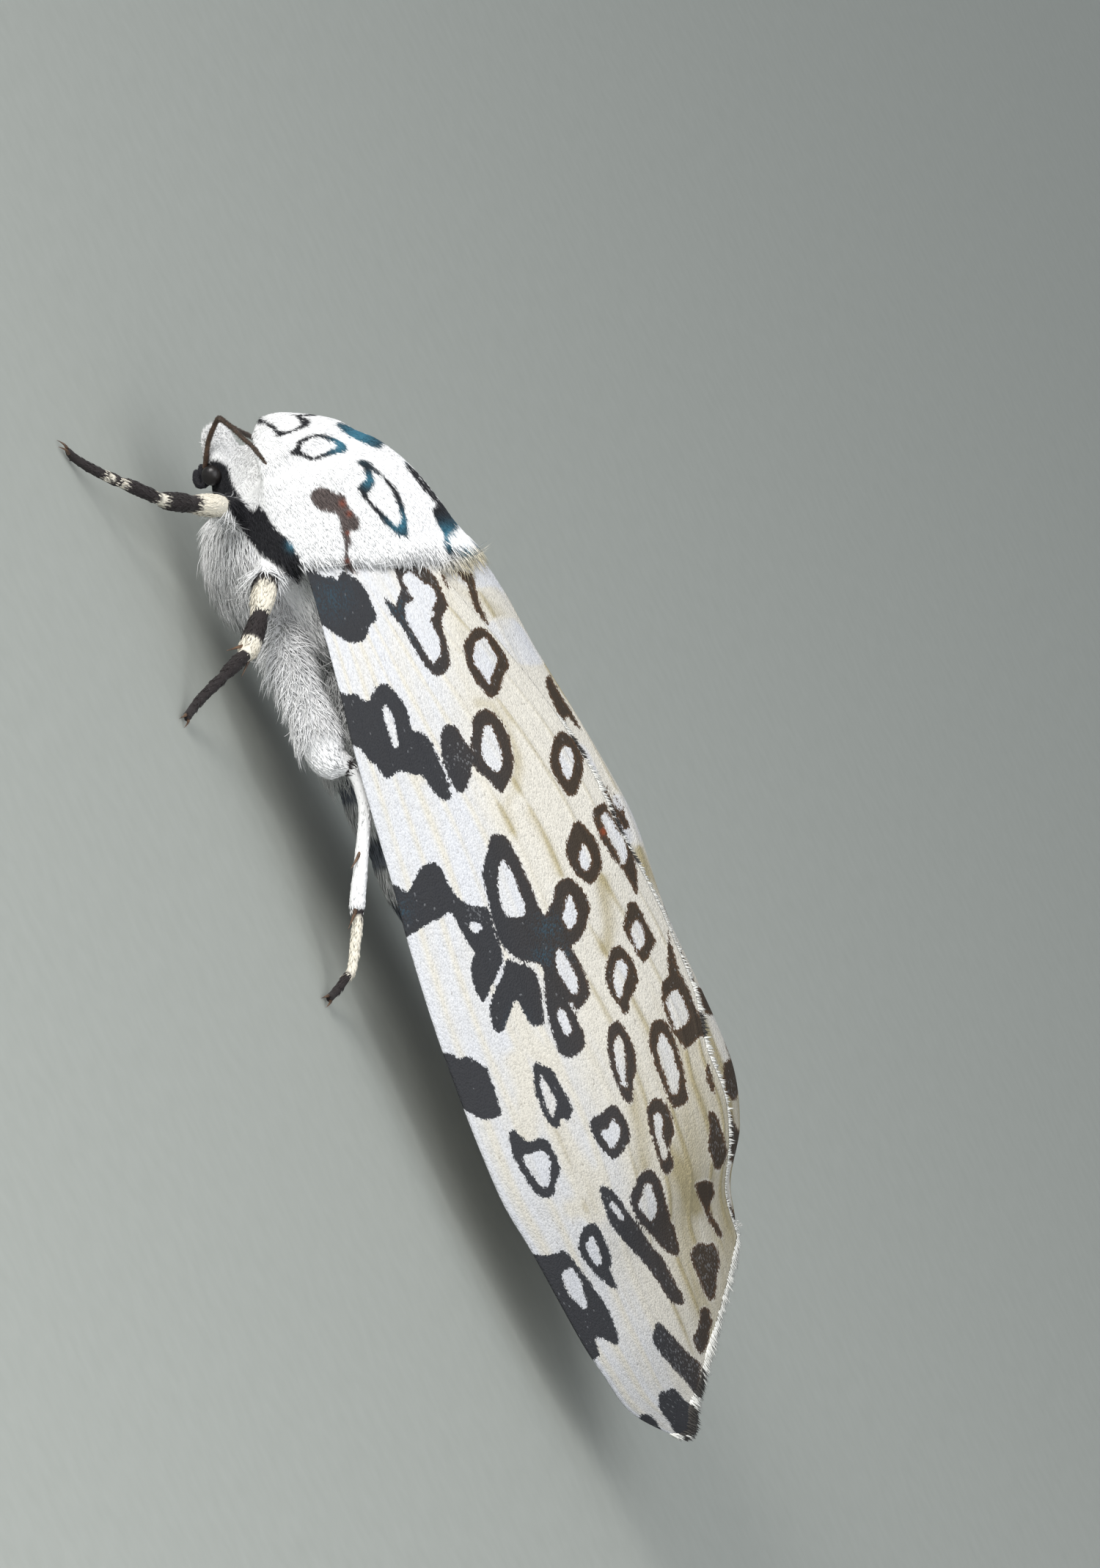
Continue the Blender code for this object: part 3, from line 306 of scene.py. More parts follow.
THORAX_MARKS = (
    ("346,580 368,563 392,563 423,576 425,583 420,588 388,600 381,600 374,590 362,582",
     "358,572 380,564 402,570 413,583 400,592 384,592 378,586"),
    ("399,624 409,613 411,606 436,597 456,601 472,609 476,616 474,622 460,625 432,633 416,629",
     "414,617 418,609 438,601 462,612 456,617 432,628 418,623"),
    ("461,580 468,578 486,580 518,599 523,613 515,614 496,607 478,599 464,586",),
    ("490,636 503,634 540,668 550,687 556,708 559,732 554,737 535,726 503,690 491,674 492,668 502,658 "
     "498,643",
     "511,648 532,667 543,688 549,710 548,719 542,722 535,714 509,688 505,680 514,664"),
    ("545,615 560,620 597,651 615,680 623,702 630,707 643,723 653,743 655,752 650,758 632,762 622,760 "
     "614,762 608,750 605,730 595,712 591,697 597,692 582,674 566,655 554,638 553,627",
     "567,633 574,634 592,650 605,681 600,684 594,676 572,650 566,642",
     "626,712 631,712 637,720 648,740 650,748 640,752 620,751 613,736 624,725"),
)
SHOULDER_MARKS = (
    ("428,686 430,675 440,670 452,673 462,678 474,682 479,695 489,708 495,720 490,729 481,730 483,745 "
     "478,758 482,772 488,778 486,792 476,786 473,770 475,752 471,735 468,720 462,706 450,704 438,699",),
)
SIDE_STRIPE = (
    ("262,638 274,633 300,632 313,640 318,655 323,668 333,684 347,700 353,700 358,694 368,705 380,725 "
     "398,742 412,765 417,785 410,800 395,787 375,772 359,760 350,748 338,734 326,717 318,702 306,692 "
     "285,684 266,676",),
)

# Tints of the left forewing, in picture pixels: x, y, radius, or open lines
TEAL_SPOTS = ((456, 822, 24), (545, 838, 22), (575, 870, 14), (748, 1262, 20), (765, 1300, 16),
              (742, 1300, 16), (548, 1240, 16), (705, 1390, 14))
GREY_SPOTS = ((575, 782, 28), (975, 1550, 40), (962, 1730, 40), (925, 1850, 45), (998, 1470, 30),
              (1002, 1555, 30), (626, 1033, 14), (648, 1245, 14))
RUST_SPOTS = ((484, 771, 6), (488, 779, 4), (471, 740, 4), (475, 752, 4), (822, 1134, 4))
CREAM_STREAKS = (
    "655,960 672,962 690,985 706,1030 704,1075 690,1100 700,1130",
    "565,1012 572,1035 578,1056",
    "700,1370 722,1420 745,1440 760,1530 780,1570 800,1600 812,1645",
    "720,1110 745,1150 760,1190",
    "820,1200 830,1260 826,1290",
    "858,1490 872,1545 880,1600",
    "905,1560 930,1600 948,1640",
    "640,880 620,840 604,800",
    "700,1440 716,1480 722,1540",
    "780,1640 800,1640 812,1600",
)
SHOULDER_RUST = ((471, 692, 5), (480, 706, 4), (478, 732, 3), (477, 770, 4))
COAT_TEAL = ((492, 594, 30), (465, 612, 14), (548, 718, 16), (505, 660, 10), (553, 622, 10),
             (612, 735, 18), (640, 758, 12), (404, 748, 8))
# How far a marking's distances reach, and the step of the lattice that holds them
REACH_PX = 16.0
LATTICE_PX = 2.0

# Veins of a forewing: place across the wing at the root, halfway and at the outer edge, 0 at the inner edge
VEINS = ((0.94, 0.955, 0.97), (0.86, 0.88, 0.9), (0.8, 0.79, 0.8), (0.74, 0.7, 0.68), (0.67, 0.6, 0.55),
         (0.58, 0.48, 0.42), (0.47, 0.36, 0.28), (0.3, 0.2, 0.14), (0.15, 0.08, 0.05))
VEIN_HEIGHT = 0.05
VEIN_WIDTH = 0.011
# How far the root of a forewing reaches forward, into the coat
ROOT_REACH = 0.8
WRINKLE = 0.02
WING_ACROSS = 12.0
WING_GRID = (270, 108)
HIND_GRID = (110, 50)
HIND_THICK = 0.06
# Dark marks of a hindwing: x, place across, their half sizes
HIND_SPOTS = ((9.5, 0.78, 1.6, 0.05), (5.5, 0.83, 1.2, 0.03), (1.0, 0.84, 0.9, 0.025), (11.8, 0.6, 0.7, 0.05))
# Share of a forewing's fringe that is at its outer edge. The rest is at the inner one.
OUTER_FRINGE = 0.62
WING_WHITE = (0.63, 0.64, 0.67, 1)
WING_IVORY = (0.66, 0.63, 0.56, 1)
WING_TAN = (0.4, 0.345, 0.21, 1)
WING_BLACK = (0.037, 0.038, 0.042, 1)
WING_BROWN = (0.05, 0.038, 0.028, 1)
WING_BLUE = (0.03, 0.1, 0.15, 1)
WING_RUST = (0.3, 0.06, 0.02, 1)
WING_DUSK = (0.5, 0.46, 0.4, 1)
SPECK_BROWN = (0.16, 0.13, 0.1, 1)
FLECK_GREY = (0.4, 0.41, 0.43, 1)
RIM_BROWN = (0.14, 0.07, 0.03, 1)
FRINGE_WHITE = (0.8, 0.79, 0.74, 1.0)
FRINGE_DARK = (0.05, 0.045, 0.04, 1.0)

# Parts of the skin by number: the legs are 0 to 5, with the hind ones at 2 and 5
LEG_KINDS = 3
HIND_KIND = 2
LEG_COUNT = 6
HEAD_PART = 6
THORAX_PART = 7
ABDOMEN_PART = 8
WOOL_PART = 9
# Steps of a smooth path from one given point to the next
LEG_PARTS = 5
# The furrow between the collar and the shoulders
FURROW_X = -18.35
# The thorax is bare behind this, under the wings
COVERED_X = -11.2
# The rear rim of the shoulders: a point of it, and how far it leans back for each millimetre up
RIM_X = -15.5
RIM_Z = 4.28
RIM_LEAN = 0.585
SKIN_VOXEL = 0.115
SOLE = 0.015
# The body's bake map turns around a line at this height, from the given x on, over a length
MAP_HEIGHT = 4.5
MAP_START = -23.6
MAP_LENGTH = 32.5

# Coat
COAT_DEPTH = {"thorax": 0.2, "wool": 0.4, "abdomen": 0.22, "head": 0.16, "leg": 0.07}
NECK = ((-19.3, 0.0, 3.75, 1.0), (-18.7, 0.0, 4.0, 1.5), (-17.6, 0.0, 4.5, 2.2), (-16.5, 0.0, 5.0, 2.4))
# Where the coat of a leg starts, in points of the path of a fore, mid and hind leg
LEG_CUT = np.array([1.1, 0.9, 1.1])
# Pale bands of the same legs: first and last place along the path
PALE_BANDS = (
    ((0.5, 2.75), (7.0, 8.8), (10.15, 11.5), (12.3, 12.6)),
    ((1.2, 2.9), (6.3, 8.2)),
    ((0.0, 4.9), (5.6, 9.85), (11.6, 13.8)),
)
LEG_DARK = np.array([0.025, 0.02, 0.02, 1.0])
LEG_PALE = np.array([0.78, 0.73, 0.62, 1.0])
COAT_WHITE = np.array([0.87, 0.87, 0.87, 1.0])
# The next grey is painted shade, for the underside of the coat.
WOOL_SHADE_GREY = np.array([0.84, 0.83, 0.83, 1.0])
COAT_BLACK = np.array([0.012, 0.012, 0.015, 1.0])
TEAL = np.array([0.035, 0.15, 0.22, 1.0])
TUFT_YELLOW = np.array([0.78, 0.66, 0.36, 1.0])
SHOULDER_BROWN = np.array([0.09, 0.07, 0.065, 1.0])
RUST = np.array([0.22, 0.045, 0.02, 1.0])
ABDOMEN_BLUE = np.array([0.02, 0.04, 0.09, 1.0])
ABDOMEN_ORANGE = np.array([0.7, 0.25, 0.03, 1.0])
FEELER_HAIR = np.array([0.1, 0.07, 0.05, 1.0])
SKIN_SHADE = np.array([0.94, 0.94, 0.94, 1.0])
EYE_BLACK = (0.006, 0.006, 0.008, 1)
EYE_BROWN = (0.02, 0.016, 0.014, 1)
# Tufts: how thick, how deep their roots are, how far a marking's edge scatters, spread of their tones
TUFT_THICK = 0.03
ROOT_DEPTH = 0.03
EDGE_SCATTER_PX = 1.3
WOOL_TONES = 0.2
COAT_TONES = 0.05
PIECE_FACES = 190000

# Lights, in metres: name, place across, up and toward the camera, size, watts, colour
LIGHTS = (
    ("key", (-0.13, 0.33, 0.34), 0.22, 2.45, (1.0, 0.985, 0.965)),
    ("fill", (0.2, 0.06, 0.42), 0.35, 1.25, (0.97, 0.98, 1.0)),
)
SKY = 0.42
SKY_COLOUR = (0.9, 0.95, 1.0, 1)
FLOOR_LOW = (0.42, 0.44, 0.4, 1)
FLOOR_HIGH = (0.48, 0.5, 0.46, 1)


# Tables, curves and meshes

def along(table, x):
    """Columns of a table of rows (x, ...) at the values x, on a smooth curve through the rows."""
    rows = np.array(table, float)
    keys = rows[:, 0]
    x = np.clip(np.asarray(x, float), keys[0], keys[-1])
    k = np.clip(np.searchsorted(keys, x, side="right") - 1, 0, len(keys) - 2)
    before, after = np.maximum(k - 1, 0), np.minimum(k + 2, len(keys) - 1)
    span = keys[k + 1] - keys[k]
    t = ((x - keys[k]) / span)[..., None]
    a, b = rows[k, 1:], rows[k + 1, 1:]
    start = (b - rows[before, 1:]) / (keys[k + 1] - keys[before])[..., None] * span[..., None]
    end = (rows[after, 1:] - a) / (keys[after] - keys[k])[..., None] * span[..., None]
    rise = b - a
    return a + start * t + (3 * rise - 2 * start - end) * t**2 + (start + end - 2 * rise) * t**3


def step(low, high, value):
    """A smooth rise from 0 at low to 1 at high."""
    t = np.clip((value - low) / (high - low), 0.0, 1.0)
    return t * t * (3 - 2 * t)


def band(value, low, full, fading, gone):
    """1 from full to fading, with smooth ends at low and gone."""
    return step(low, full, value) * (1 - step(fading, gone, value))


def bump(value, middle, wide):
    """A bell of height 1 at middle, and 0.37 at a distance of wide from it."""
    return np.exp(-(((value - middle) / wide)**2))


def circle(count):
    return 2 * np.pi * np.arange(count) / count


def nearest(points, a, b):
    """The nearest spots to points on the line from a to b: their shares of it, and the distances."""
    d = b - a
    share = np.clip((points - a) @ d / max(d @ d, 1e-9), 0, 1)
    return share, np.linalg.norm(points - a - share[:, None] * d, axis=1)


def lattice(*axes):
    """Flat arrays of all pairings of two axes, the second one running fastest."""
    return [k.ravel() for k in np.meshgrid(*axes, indexing="ij")]


def pairs(text):
    return np.array([[float(v) for v in pair.split(",")] for pair in text.split()])


def unit(vectors):
    return vectors / np.maximum(np.linalg.norm(vectors, axis=-1, keepdims=True), 1e-12)


def to_px(points):
    """Picture pixels of points in millimetres, by a view without perspective."""
    s = (points @ RIGHT + PX_ORIGIN[0]) * PX_PER_MM
    t = (points @ UP + PX_ORIGIN[1]) * PX_PER_MM
    return np.stack([ROLL[0] * s + ROLL[1] * t, ROLL[1] * s - ROLL[0] * t], axis=-1)


def new_object(name, data):
    made = bpy.data.objects.new(name, data)
    bpy.context.scene.collection.objects.link(made)
    return made


def make_mesh(name, points, faces):
    """A mesh object from points in millimetres and faces in arrays of three or four corners."""
    mesh = bpy.data.meshes.new(name)
    points = np.asarray(points, float) + np.array([SHIFT_X, 0, 0])
    faces = [np.asarray(f, np.int64) for f in (faces if isinstance(faces, list) else [faces])]
    corners = np.concatenate([f.ravel() for f in faces])
    sizes = np.concatenate([np.full(len(f), f.shape[1]) for f in faces])
    starts = np.concatenate([[0], np.cumsum(sizes)[:-1]])
    mesh.vertices.add(len(points))
    mesh.vertices.foreach_set("co", (points * MM).astype(np.float32).ravel())
    mesh.loops.add(len(corners))
    mesh.loops.foreach_set("vertex_index", corners.astype(np.int32))
    mesh.polygons.add(len(sizes))
    mesh.polygons.foreach_set("loop_start", starts.astype(np.int32))
    mesh.polygons.foreach_set("loop_total", sizes.astype(np.int32))
    mesh.update(calc_edges=True)
    mesh.validate()
    mesh.polygons.foreach_set("use_smooth", np.ones(len(mesh.polygons), bool))
    return new_object(name, mesh)


def put_values(mesh, name, values):
    """Values of the mesh's points: numbers, vectors or colours, by the width of the array."""
    values = np.asarray(values, np.float32)
    kind, key = {1: ("FLOAT", "value"), 3: ("FLOAT_VECTOR", "vector"), 4: ("FLOAT_COLOR", "color")}[
        values.size // len(values)]
    mesh.attributes.new(name, kind, "POINT").data.foreach_set(key, values.ravel())


def put_map(mesh, spots):
    """The UV map that a bake of the surface uses, from a spot in the unit square per vertex."""
    corner = np.empty(len(mesh.loops), np.int32)
    mesh.loops.foreach_get("vertex_index", corner)
    layer = mesh.uv_layers.new(name="OFBake")
    layer.data.foreach_set("uv", np.asarray(spots, np.float32)[corner].ravel())


def settle(piece, material, slot, *nodes):
    piece.data.materials.append(material)
    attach(piece, "root")
    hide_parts(*nodes)


# Shapes drawn in picture pixels

def outline(text, parts=4):
    """A closed smooth line through the points of a text of pairs."""
    rows = pairs(text)
    a, b, c, d = (np.roll(rows, k, axis=0)[:, None, :] for k in (1, 0, -1, -2))
    t = (np.arange(parts) / parts)[None, :, None]
    made = 0.5 * (2 * b + (c - a) * t + (2 * a - 5 * b + 4 * c - d) * t**2 + (3 * b - a - 3 * c + d) * t**3)
    return made.reshape(-1, 2)


def signed_distance(spots, line):
    """Distance of spots to a closed line, negative inside."""
    best = np.full(len(spots), np.inf)
    inside = np.zeros(len(spots), bool)
    for a, b in zip(line, np.roll(line, -1, axis=0)):
        best = np.minimum(best, nearest(spots, a, b)[1])
        if a[1] != b[1]:
            beside = (a[1] > spots[:, 1]) != (b[1] > spots[:, 1])
            inside ^= beside & (spots[:, 0] < a[0] + (spots[:, 1] - a[1]) * (b[0] - a[0]) / (b[1] - a[1]))
    return np.where(inside, -best, best)


class Field:
    """Distance in pixels to the nearest marking, on a square lattice: negative inside one."""

    def __init__(self, marks):
        shapes = [[outline(text) for text in mark] for mark in marks]
        every = np.concatenate([shape[0] for shape in shapes])
        self.low = every.min(0) - REACH_PX
        counts = np.ceil((every.max(0) + REACH_PX - self.low) / LATTICE_PX).astype(int) + 1
        self.values = np.full(counts, REACH_PX)
        for first, *holes in shapes:
            start = np.floor((first.min(0) - REACH_PX - self.low) / LATTICE_PX).astype(int).clip(0)
            end = np.ceil((first.max(0) + REACH_PX - self.low) / LATTICE_PX).astype(int) + 1
            i, j = lattice(*(np.arange(start[k], min(end[k], counts[k])) for k in (0, 1)))
            spots = np.stack([i, j], axis=1) * LATTICE_PX + self.low
            value = signed_distance(spots, first)
            for hole in holes:
                value = np.maximum(value, -signed_distance(spots, hole))
            self.values[i, j] = np.minimum(self.values[i, j], value)

    def at(self, spots):
        place = (spots - self.low) / LATTICE_PX
        outside = np.any((place < 0) | (place > np.array(self.values.shape) - 1.01), axis=1)
        place = np.clip(place, 0, np.array(self.values.shape) - 1.01)
        i, j = place.astype(int).T
        s, t = (place - place.astype(int)).T
        v = self.values
        value = ((v[i, j] * (1 - s) + v[i + 1, j] * s) * (1 - t)
                 + (v[i, j + 1] * (1 - s) + v[i + 1, j + 1] * s) * t)
        return np.where(outside, REACH_PX, value)


def nearness(spots, rows):
    """The most that any row (x, y, radius) covers each spot, from 0 to 1, with soft edges."""
    found = np.zeros(len(spots))
    for x, y, radius in rows:
        found = np.maximum(found, np.exp(-((spots[:, 0] - x)**2 + (spots[:, 1] - y)**2) / radius**2))
    return found


def streaks(spots, texts, wide):
    """The same for open lines, each a text of pairs."""
    found = np.zeros(len(spots))
    for line in map(pairs, texts):
        for a, b in zip(line[:-1], line[1:]):
            found = np.maximum(found, bump(nearest(spots, a, b)[1], 0, wide))
    return found


# Materials

def add(tree, kind, inputs=None, **settings):
    """A new node, with its settings, and inputs that are values or other nodes' outputs."""
    node = tree.nodes.new(kind)
    for key, value in settings.items():
        setattr(node, key, value)
    for key, value in (inputs or {}).items():
        if isinstance(value, bpy.types.NodeSocket):
            tree.links.new(value, node.inputs[key])
        else:
            node.inputs[key].default_value = value
    return node


def compute(tree, operation, *values):
    return add(tree, "ShaderNodeMath", dict(enumerate(values)), operation=operation).outputs[0]


def ramp(tree, value, low, high, start=0.0, end=1.0):
    inputs = {"Value": value, "From Min": low, "From Max": high, "To Min": start, "To Max": end}
    return add(tree, "ShaderNodeMapRange", inputs, interpolation_type="SMOOTHSTEP").outputs[0]


def blend_colour(tree, share, first, second, way="MIX"):
    node = add(tree, "ShaderNodeMix", {0: share, 6: first, 7: second}, data_type="RGBA", blend_type=way)
    return node.outputs[2]


def shaded(tree, colour, shade):
    """A colour times a grey value."""
    grey = add(tree, "ShaderNodeCombineColor", {0: shade, 1: shade, 2: shade}).outputs[0]
    return blend_colour(tree, 1.0, colour, grey, "MULTIPLY")


def times(tree, first, second):
    return compute(tree, "MULTIPLY", first, second)


def plus(tree, first, second):
    return compute(tree, "ADD", first, second)


def noise(tree, place, scale, detail=2.0):
    return add(tree, "ShaderNodeTexNoise", {"Vector": place, "Scale": scale, "Detail": detail}).outputs[0]


def stretched(tree, vector, factors):
    return add(tree, "ShaderNodeVectorMath", {0: vector, 1: factors}, operation="MULTIPLY").outputs[0]


def own_place(tree):
    return add(tree, "ShaderNodeTexCoord").outputs["Object"]


def value_named(tree, name, output="Fac"):
    return add(tree, "ShaderNodeAttribute", attribute_name=name).outputs[output]


def new_material(name, roughness, sheen=0.0, coat=0.0, gloss=0.5):
    made = bpy.data.materials.new(name)
    made.use_nodes = True
    shader = made.node_tree.nodes["Principled BSDF"]
    shader.inputs["Roughness"].default_value = roughness
    shader.inputs["Sheen Weight"].default_value = sheen
    shader.inputs["Coat Weight"].default_value = coat
    shader.inputs["Specular IOR Level"].default_value = gloss
    return made, made.node_tree, shader


def plug(tree, shader, colour=None, roughness=None, height=None, depth=0.00003, strength=0.5):
    if colour is not None:
        tree.links.new(colour, shader.inputs["Base Color"])
    if roughness is not None:
        tree.links.new(roughness, shader.inputs["Roughness"])
    if height is not None:
        bump = add(tree, "ShaderNodeBump", {"Height": height, "Strength": strength, "Distance": depth})
        tree.links.new(bump.outputs[0], shader.inputs["Normal"])


def wing_material(name, dusk):
    """Powdery scales in rows, with ragged black markings that shine blue in places."""
    made, tree, shader = new_material(name, 0.75, gloss=0.12)
    lay = value_named(tree, "lay", "Vector")
    cell = add(tree, "ShaderNodeTexVoronoi", {"Vector": stretched(tree, lay, (0.55, 1.0, 1.0)), "Scale": 19.0,
                                              "Randomness": 0.85})
    chance = add(tree, "ShaderNodeSeparateColor", {0: cell.outputs["Color"]}).outputs
    broad = noise(tree, stretched(tree, lay, (0.25, 1.6, 1.0)), 0.6, 4.0)
    jitter = compute(tree, "MULTIPLY_ADD", chance[0], 0.09, -0.055)
    sway = compute(tree, "MULTIPLY_ADD", noise(tree, lay, 2.6), 0.07, -0.035)
    edge = plus(tree, value_named(tree, "mark"), plus(tree, jitter, sway))

    cream = plus(tree, value_named(tree, "cream"), compute(tree, "MULTIPLY_ADD", broad, 0.7, -0.35))
    pale = blend_colour(tree, ramp(tree, cream, 0.0, 0.5), WING_WHITE, WING_IVORY)
    pale = blend_colour(tree, ramp(tree, cream, 0.55, 1.15), pale, WING_TAN)
    # Painted shade: the pale scales darken towards the rear of the wing, down to 0.84 at 12 mm. Each scale
    # also gets its own random tone.
    rearward = add(tree, "ShaderNodeSeparateXYZ", {0: lay}).outputs[0]
    pale = shaded(tree, pale, times(tree, ramp(tree, chance[2], 0.0, 1.0, 0.9, 1.05),
                                    ramp(tree, rearward, 0.0, 12.0, 1.0, 0.84)))
    speck = compute(tree, "GREATER_THAN", chance[1], 0.988)
    pale = blend_colour(tree, times(tree, speck, 0.28), pale, SPECK_BROWN)

    brown = value_named(tree, "brown")
    base = blend_colour(tree, brown, WING_BLACK, WING_BROWN)
    glint = times(tree, value_named(tree, "teal"), ramp(tree, chance[0], 0.4, 0.9, 0.0, 0.4))
    base = blend_colour(tree, glint, base, WING_BLUE)
    fleck = compute(tree, "GREATER_THAN", chance[1],
                    compute(tree, "SUBTRACT", 0.993, times(tree, value_named(tree, "grey"), 0.2)))
    base = blend_colour(tree, times(tree, fleck, 0.22), base, FLECK_GREY)
    rim = times(tree, ramp(tree, edge, -0.12, -0.02), times(tree, brown, 0.4))
    base = blend_colour(tree, rim, base, RIM_BROWN)

    colour = blend_colour(tree, ramp(tree, edge, 0.02, -0.03), pale, base)
    colour = blend_colour(tree, value_named(tree, "rust"), colour, WING_RUST)
    if dusk:
        colour = blend_colour(tree, 0.3, colour, WING_DUSK)
    height = plus(tree, times(tree, cell.outputs["Distance"], 1.4), times(tree, broad, 1.6))
    plug(tree, shader, colour, None, height, 0.00004, 0.6)
    return made


def hair_material(name, roughness, sheen, grain):
    """Hair in the colour that each point of the mesh carries."""
    made, tree, shader = new_material(name, roughness, sheen=sheen, gloss=0.25)
    fine = noise(tree, own_place(tree), grain, 3.0)
    colour = shaded(tree, value_named(tree, "tint", "Color"), ramp(tree, fine, 0.2, 0.8, 0.94, 1.06))
    plug(tree, shader, colour, None, fine, 0.00003, 0.35)
    return made


def eye_material():
    made, tree, shader = new_material("eye_facets", 0.32, coat=0.12, gloss=0.3)
    place = own_place(tree)
    facets = add(tree, "ShaderNodeTexVoronoi", {"Vector": place, "Scale": 22000.0, "Randomness": 0.2})
    colour = blend_colour(tree, noise(tree, place, 2500.0), EYE_BLACK, EYE_BROWN)
    plug(tree, shader, colour, None, facets.outputs["Distance"], 0.000008, 0.5)
    return made


def horn_material(name, low, high, roughness):
    made, tree, shader = new_material(name, roughness, coat=0.1)
    place = own_place(tree)
    grain = noise(tree, place, 26000.0)
    colour = blend_colour(tree, ramp(tree, noise(tree, place, 5200.0, 4.0), 0.3, 0.7), low, high)
    plug(tree, shader, colour, ramp(tree, grain, 0.3, 0.7, roughness, roughness + 0.15), grain, 0.00002, 0.6)
    return made


# Wings

def roof_middle(x, v, side):
    width, low, ridge = along(ROOF, x).T
    turn = np.pi / 2 * v
    soft = np.sqrt(v * v + CREST_ROUND**2) - CREST_ROUND
    across = (1 - ROOF_ROUND) * v + ROOF_ROUND * np.sin(turn)
    height = (1 - ROOF_ROUND) * (1 - soft) + ROOF_ROUND * np.cos(turn)
    return np.stack([x, side * width * across, low + (ridge - low) * height], axis=-1)


def roof(x, v, side, offset):
    """Points of the wing roof at x, v from the ridge to the costal edge, offset outward, and the way out."""
    here = roof_middle(x, v, side)
    ahead = roof_middle(x + 0.05, v, side) - roof_middle(x - 0.05, v, side)
    down = roof_middle(x, v + 0.01, side) - roof_middle(x, v - 0.01, side)
    out = unit(np.cross(down, ahead)) * -side
    return here + out * np.asarray(offset)[..., None], out


def filled(edge, tip_shift, u, b):
    """x and v of a forewing: u runs from root to outer edge, b from inner to costal edge."""
    first, last = edge[0][0], edge[-1][0]
    inner_x = first + (last - first) * u
    inner_v = along(edge, inner_x)[..., 0]
    tip_x = OUTER_EDGE[-1][1] + tip_shift
    costal_x = COSTAL_START + (tip_x - COSTAL_START) * u
    outer = along(OUTER_EDGE, b)
    corner = OUTER_EDGE[0]
    outer_x = outer[..., 0] + (last - corner[1]) * (1 - b) + tip_shift * b
    outer_v = outer[..., 1] + (edge[-1][1] - corner[2]) * (1 - b)
    root_x = first + (COSTAL_START - first) * b
    root_v = edge[0][1] + (1 - edge[0][1]) * b
    x = (1 - b) * inner_x + b * costal_x + (1 - u) * root_x + u * outer_x
    x -= (1 - u) * ((1 - b) * first + b * COSTAL_START) + u * ((1 - b) * last + b * tip_x)
    v = (1 - b) * inner_v + b + (1 - u) * root_v + u * outer_v
    v -= (1 - u) * ((1 - b) * edge[0][1] + b) + u * ((1 - b) * edge[-1][1] + b)
    return x - ROOT_REACH * np.exp(-u / 0.03), v


def vein_rise(u, b):
    """Height of the veins: low ridges that fan out from the root."""
    rise = np.zeros_like(u)
    for start, mid, end in VEINS:
        line = start * (1 - u) * (1 - 2 * u) + 4 * mid * u * (1 - u) + end * u * (2 * u - 1)
        rise = np.maximum(rise, bump(b, line, VEIN_WIDTH))
    return rise * VEIN_HEIGHT * band(u, 0.0, 0.08, 0.93, 1.0)


def plate_faces(columns, rows, side):
    """Corners of a closed plate: an upper grid of points, then the same grid again below."""
    count = (columns + 1) * (rows + 1)
    i, j = lattice(np.arange(columns), np.arange(rows))
    a = i * (rows + 1) + j
    upper = np.stack([a, a + rows + 1, a + rows + 2, a + 1], axis=1)
    rim = np.concatenate([
        np.arange(columns + 1) * (rows + 1),
        columns * (rows + 1) + np.arange(1, rows + 1),
        np.arange(columns - 1, -1, -1) * (rows + 1) + rows,
        np.arange(rows - 1, 0, -1),
    ])
    after = np.roll(rim, -1)
    sides = np.stack([rim, rim + count, after + count, after], axis=1)
    faces = np.concatenate([upper, upper[:, ::-1] + count, sides])
    return faces if side < 0 else faces[:, ::-1]


def wing_places(grid):
    """Places of a wing's points, each from 0 to 1: along it, and from its inner to its costal edge."""
    return lattice(*(np.linspace(0, 1, parts + 1) for parts in grid))


def wing_plate(name, side, grid, upper, lower):
    """A wing's mesh, with the bake map's upper face at the left and its lower face at the right."""
    piece = make_mesh(name + "_scales", np.concatenate([upper, lower]), plate_faces(*grid, side))
    u, b = wing_places(grid)
    left = np.stack([0.01 + 0.48 * b, 0.01 + 0.98 * u], axis=-1)
    put_map(piece.data, np.concatenate([left, left + np.array([0.5, 0.0])]))
    return piece


def wing_values(mesh, x, v, distance, spots, brown, vein):
    """The markings and tints of a wing for its two faces."""
    # Deeper cream towards the ridge and towards the rear of the wing.
    inner = 1 - step(0.35, 0.8, v)
    cream = 0.12 + 0.4 * inner * (0.55 + 0.45 * step(-13.0, -3.0, x))
    cream += 0.3 * step(0.0, 16.0, x) * (0.3 + inner)
    cream += 0.4 * streaks(spots, CREAM_STREAKS, 13.0) + 0.3 * vein
    cream = cream * (0.35 + 0.65 * step(-4.0, 2.0, RING_FIELD.at(spots)))
    cream = np.where(v > 0.985, 0.0, np.clip(cream, 0, 1.2))
    rows = {
        "mark": distance / PX_PER_MM,
        "cream": cream,
        "teal": nearness(spots, TEAL_SPOTS),
        "grey": nearness(spots, GREY_SPOTS),
        "rust": 0.85 * nearness(spots, RUST_SPOTS),
        "brown": brown,
    }
    for name, values in rows.items():
        put_values(mesh, name, np.concatenate([values, values]))
    lay = np.stack([x, v * WING_ACROSS, np.zeros_like(x)], axis=1)
    put_values(mesh, "lay", np.concatenate([lay, lay + np.array([0, 0, 5.0])]))


def wing_lift(v, lap):
    """Height over the roof: the left forewing's inner part lies on top of the right one's."""
    return lap * (1 - step(0.36, 0.7, v))


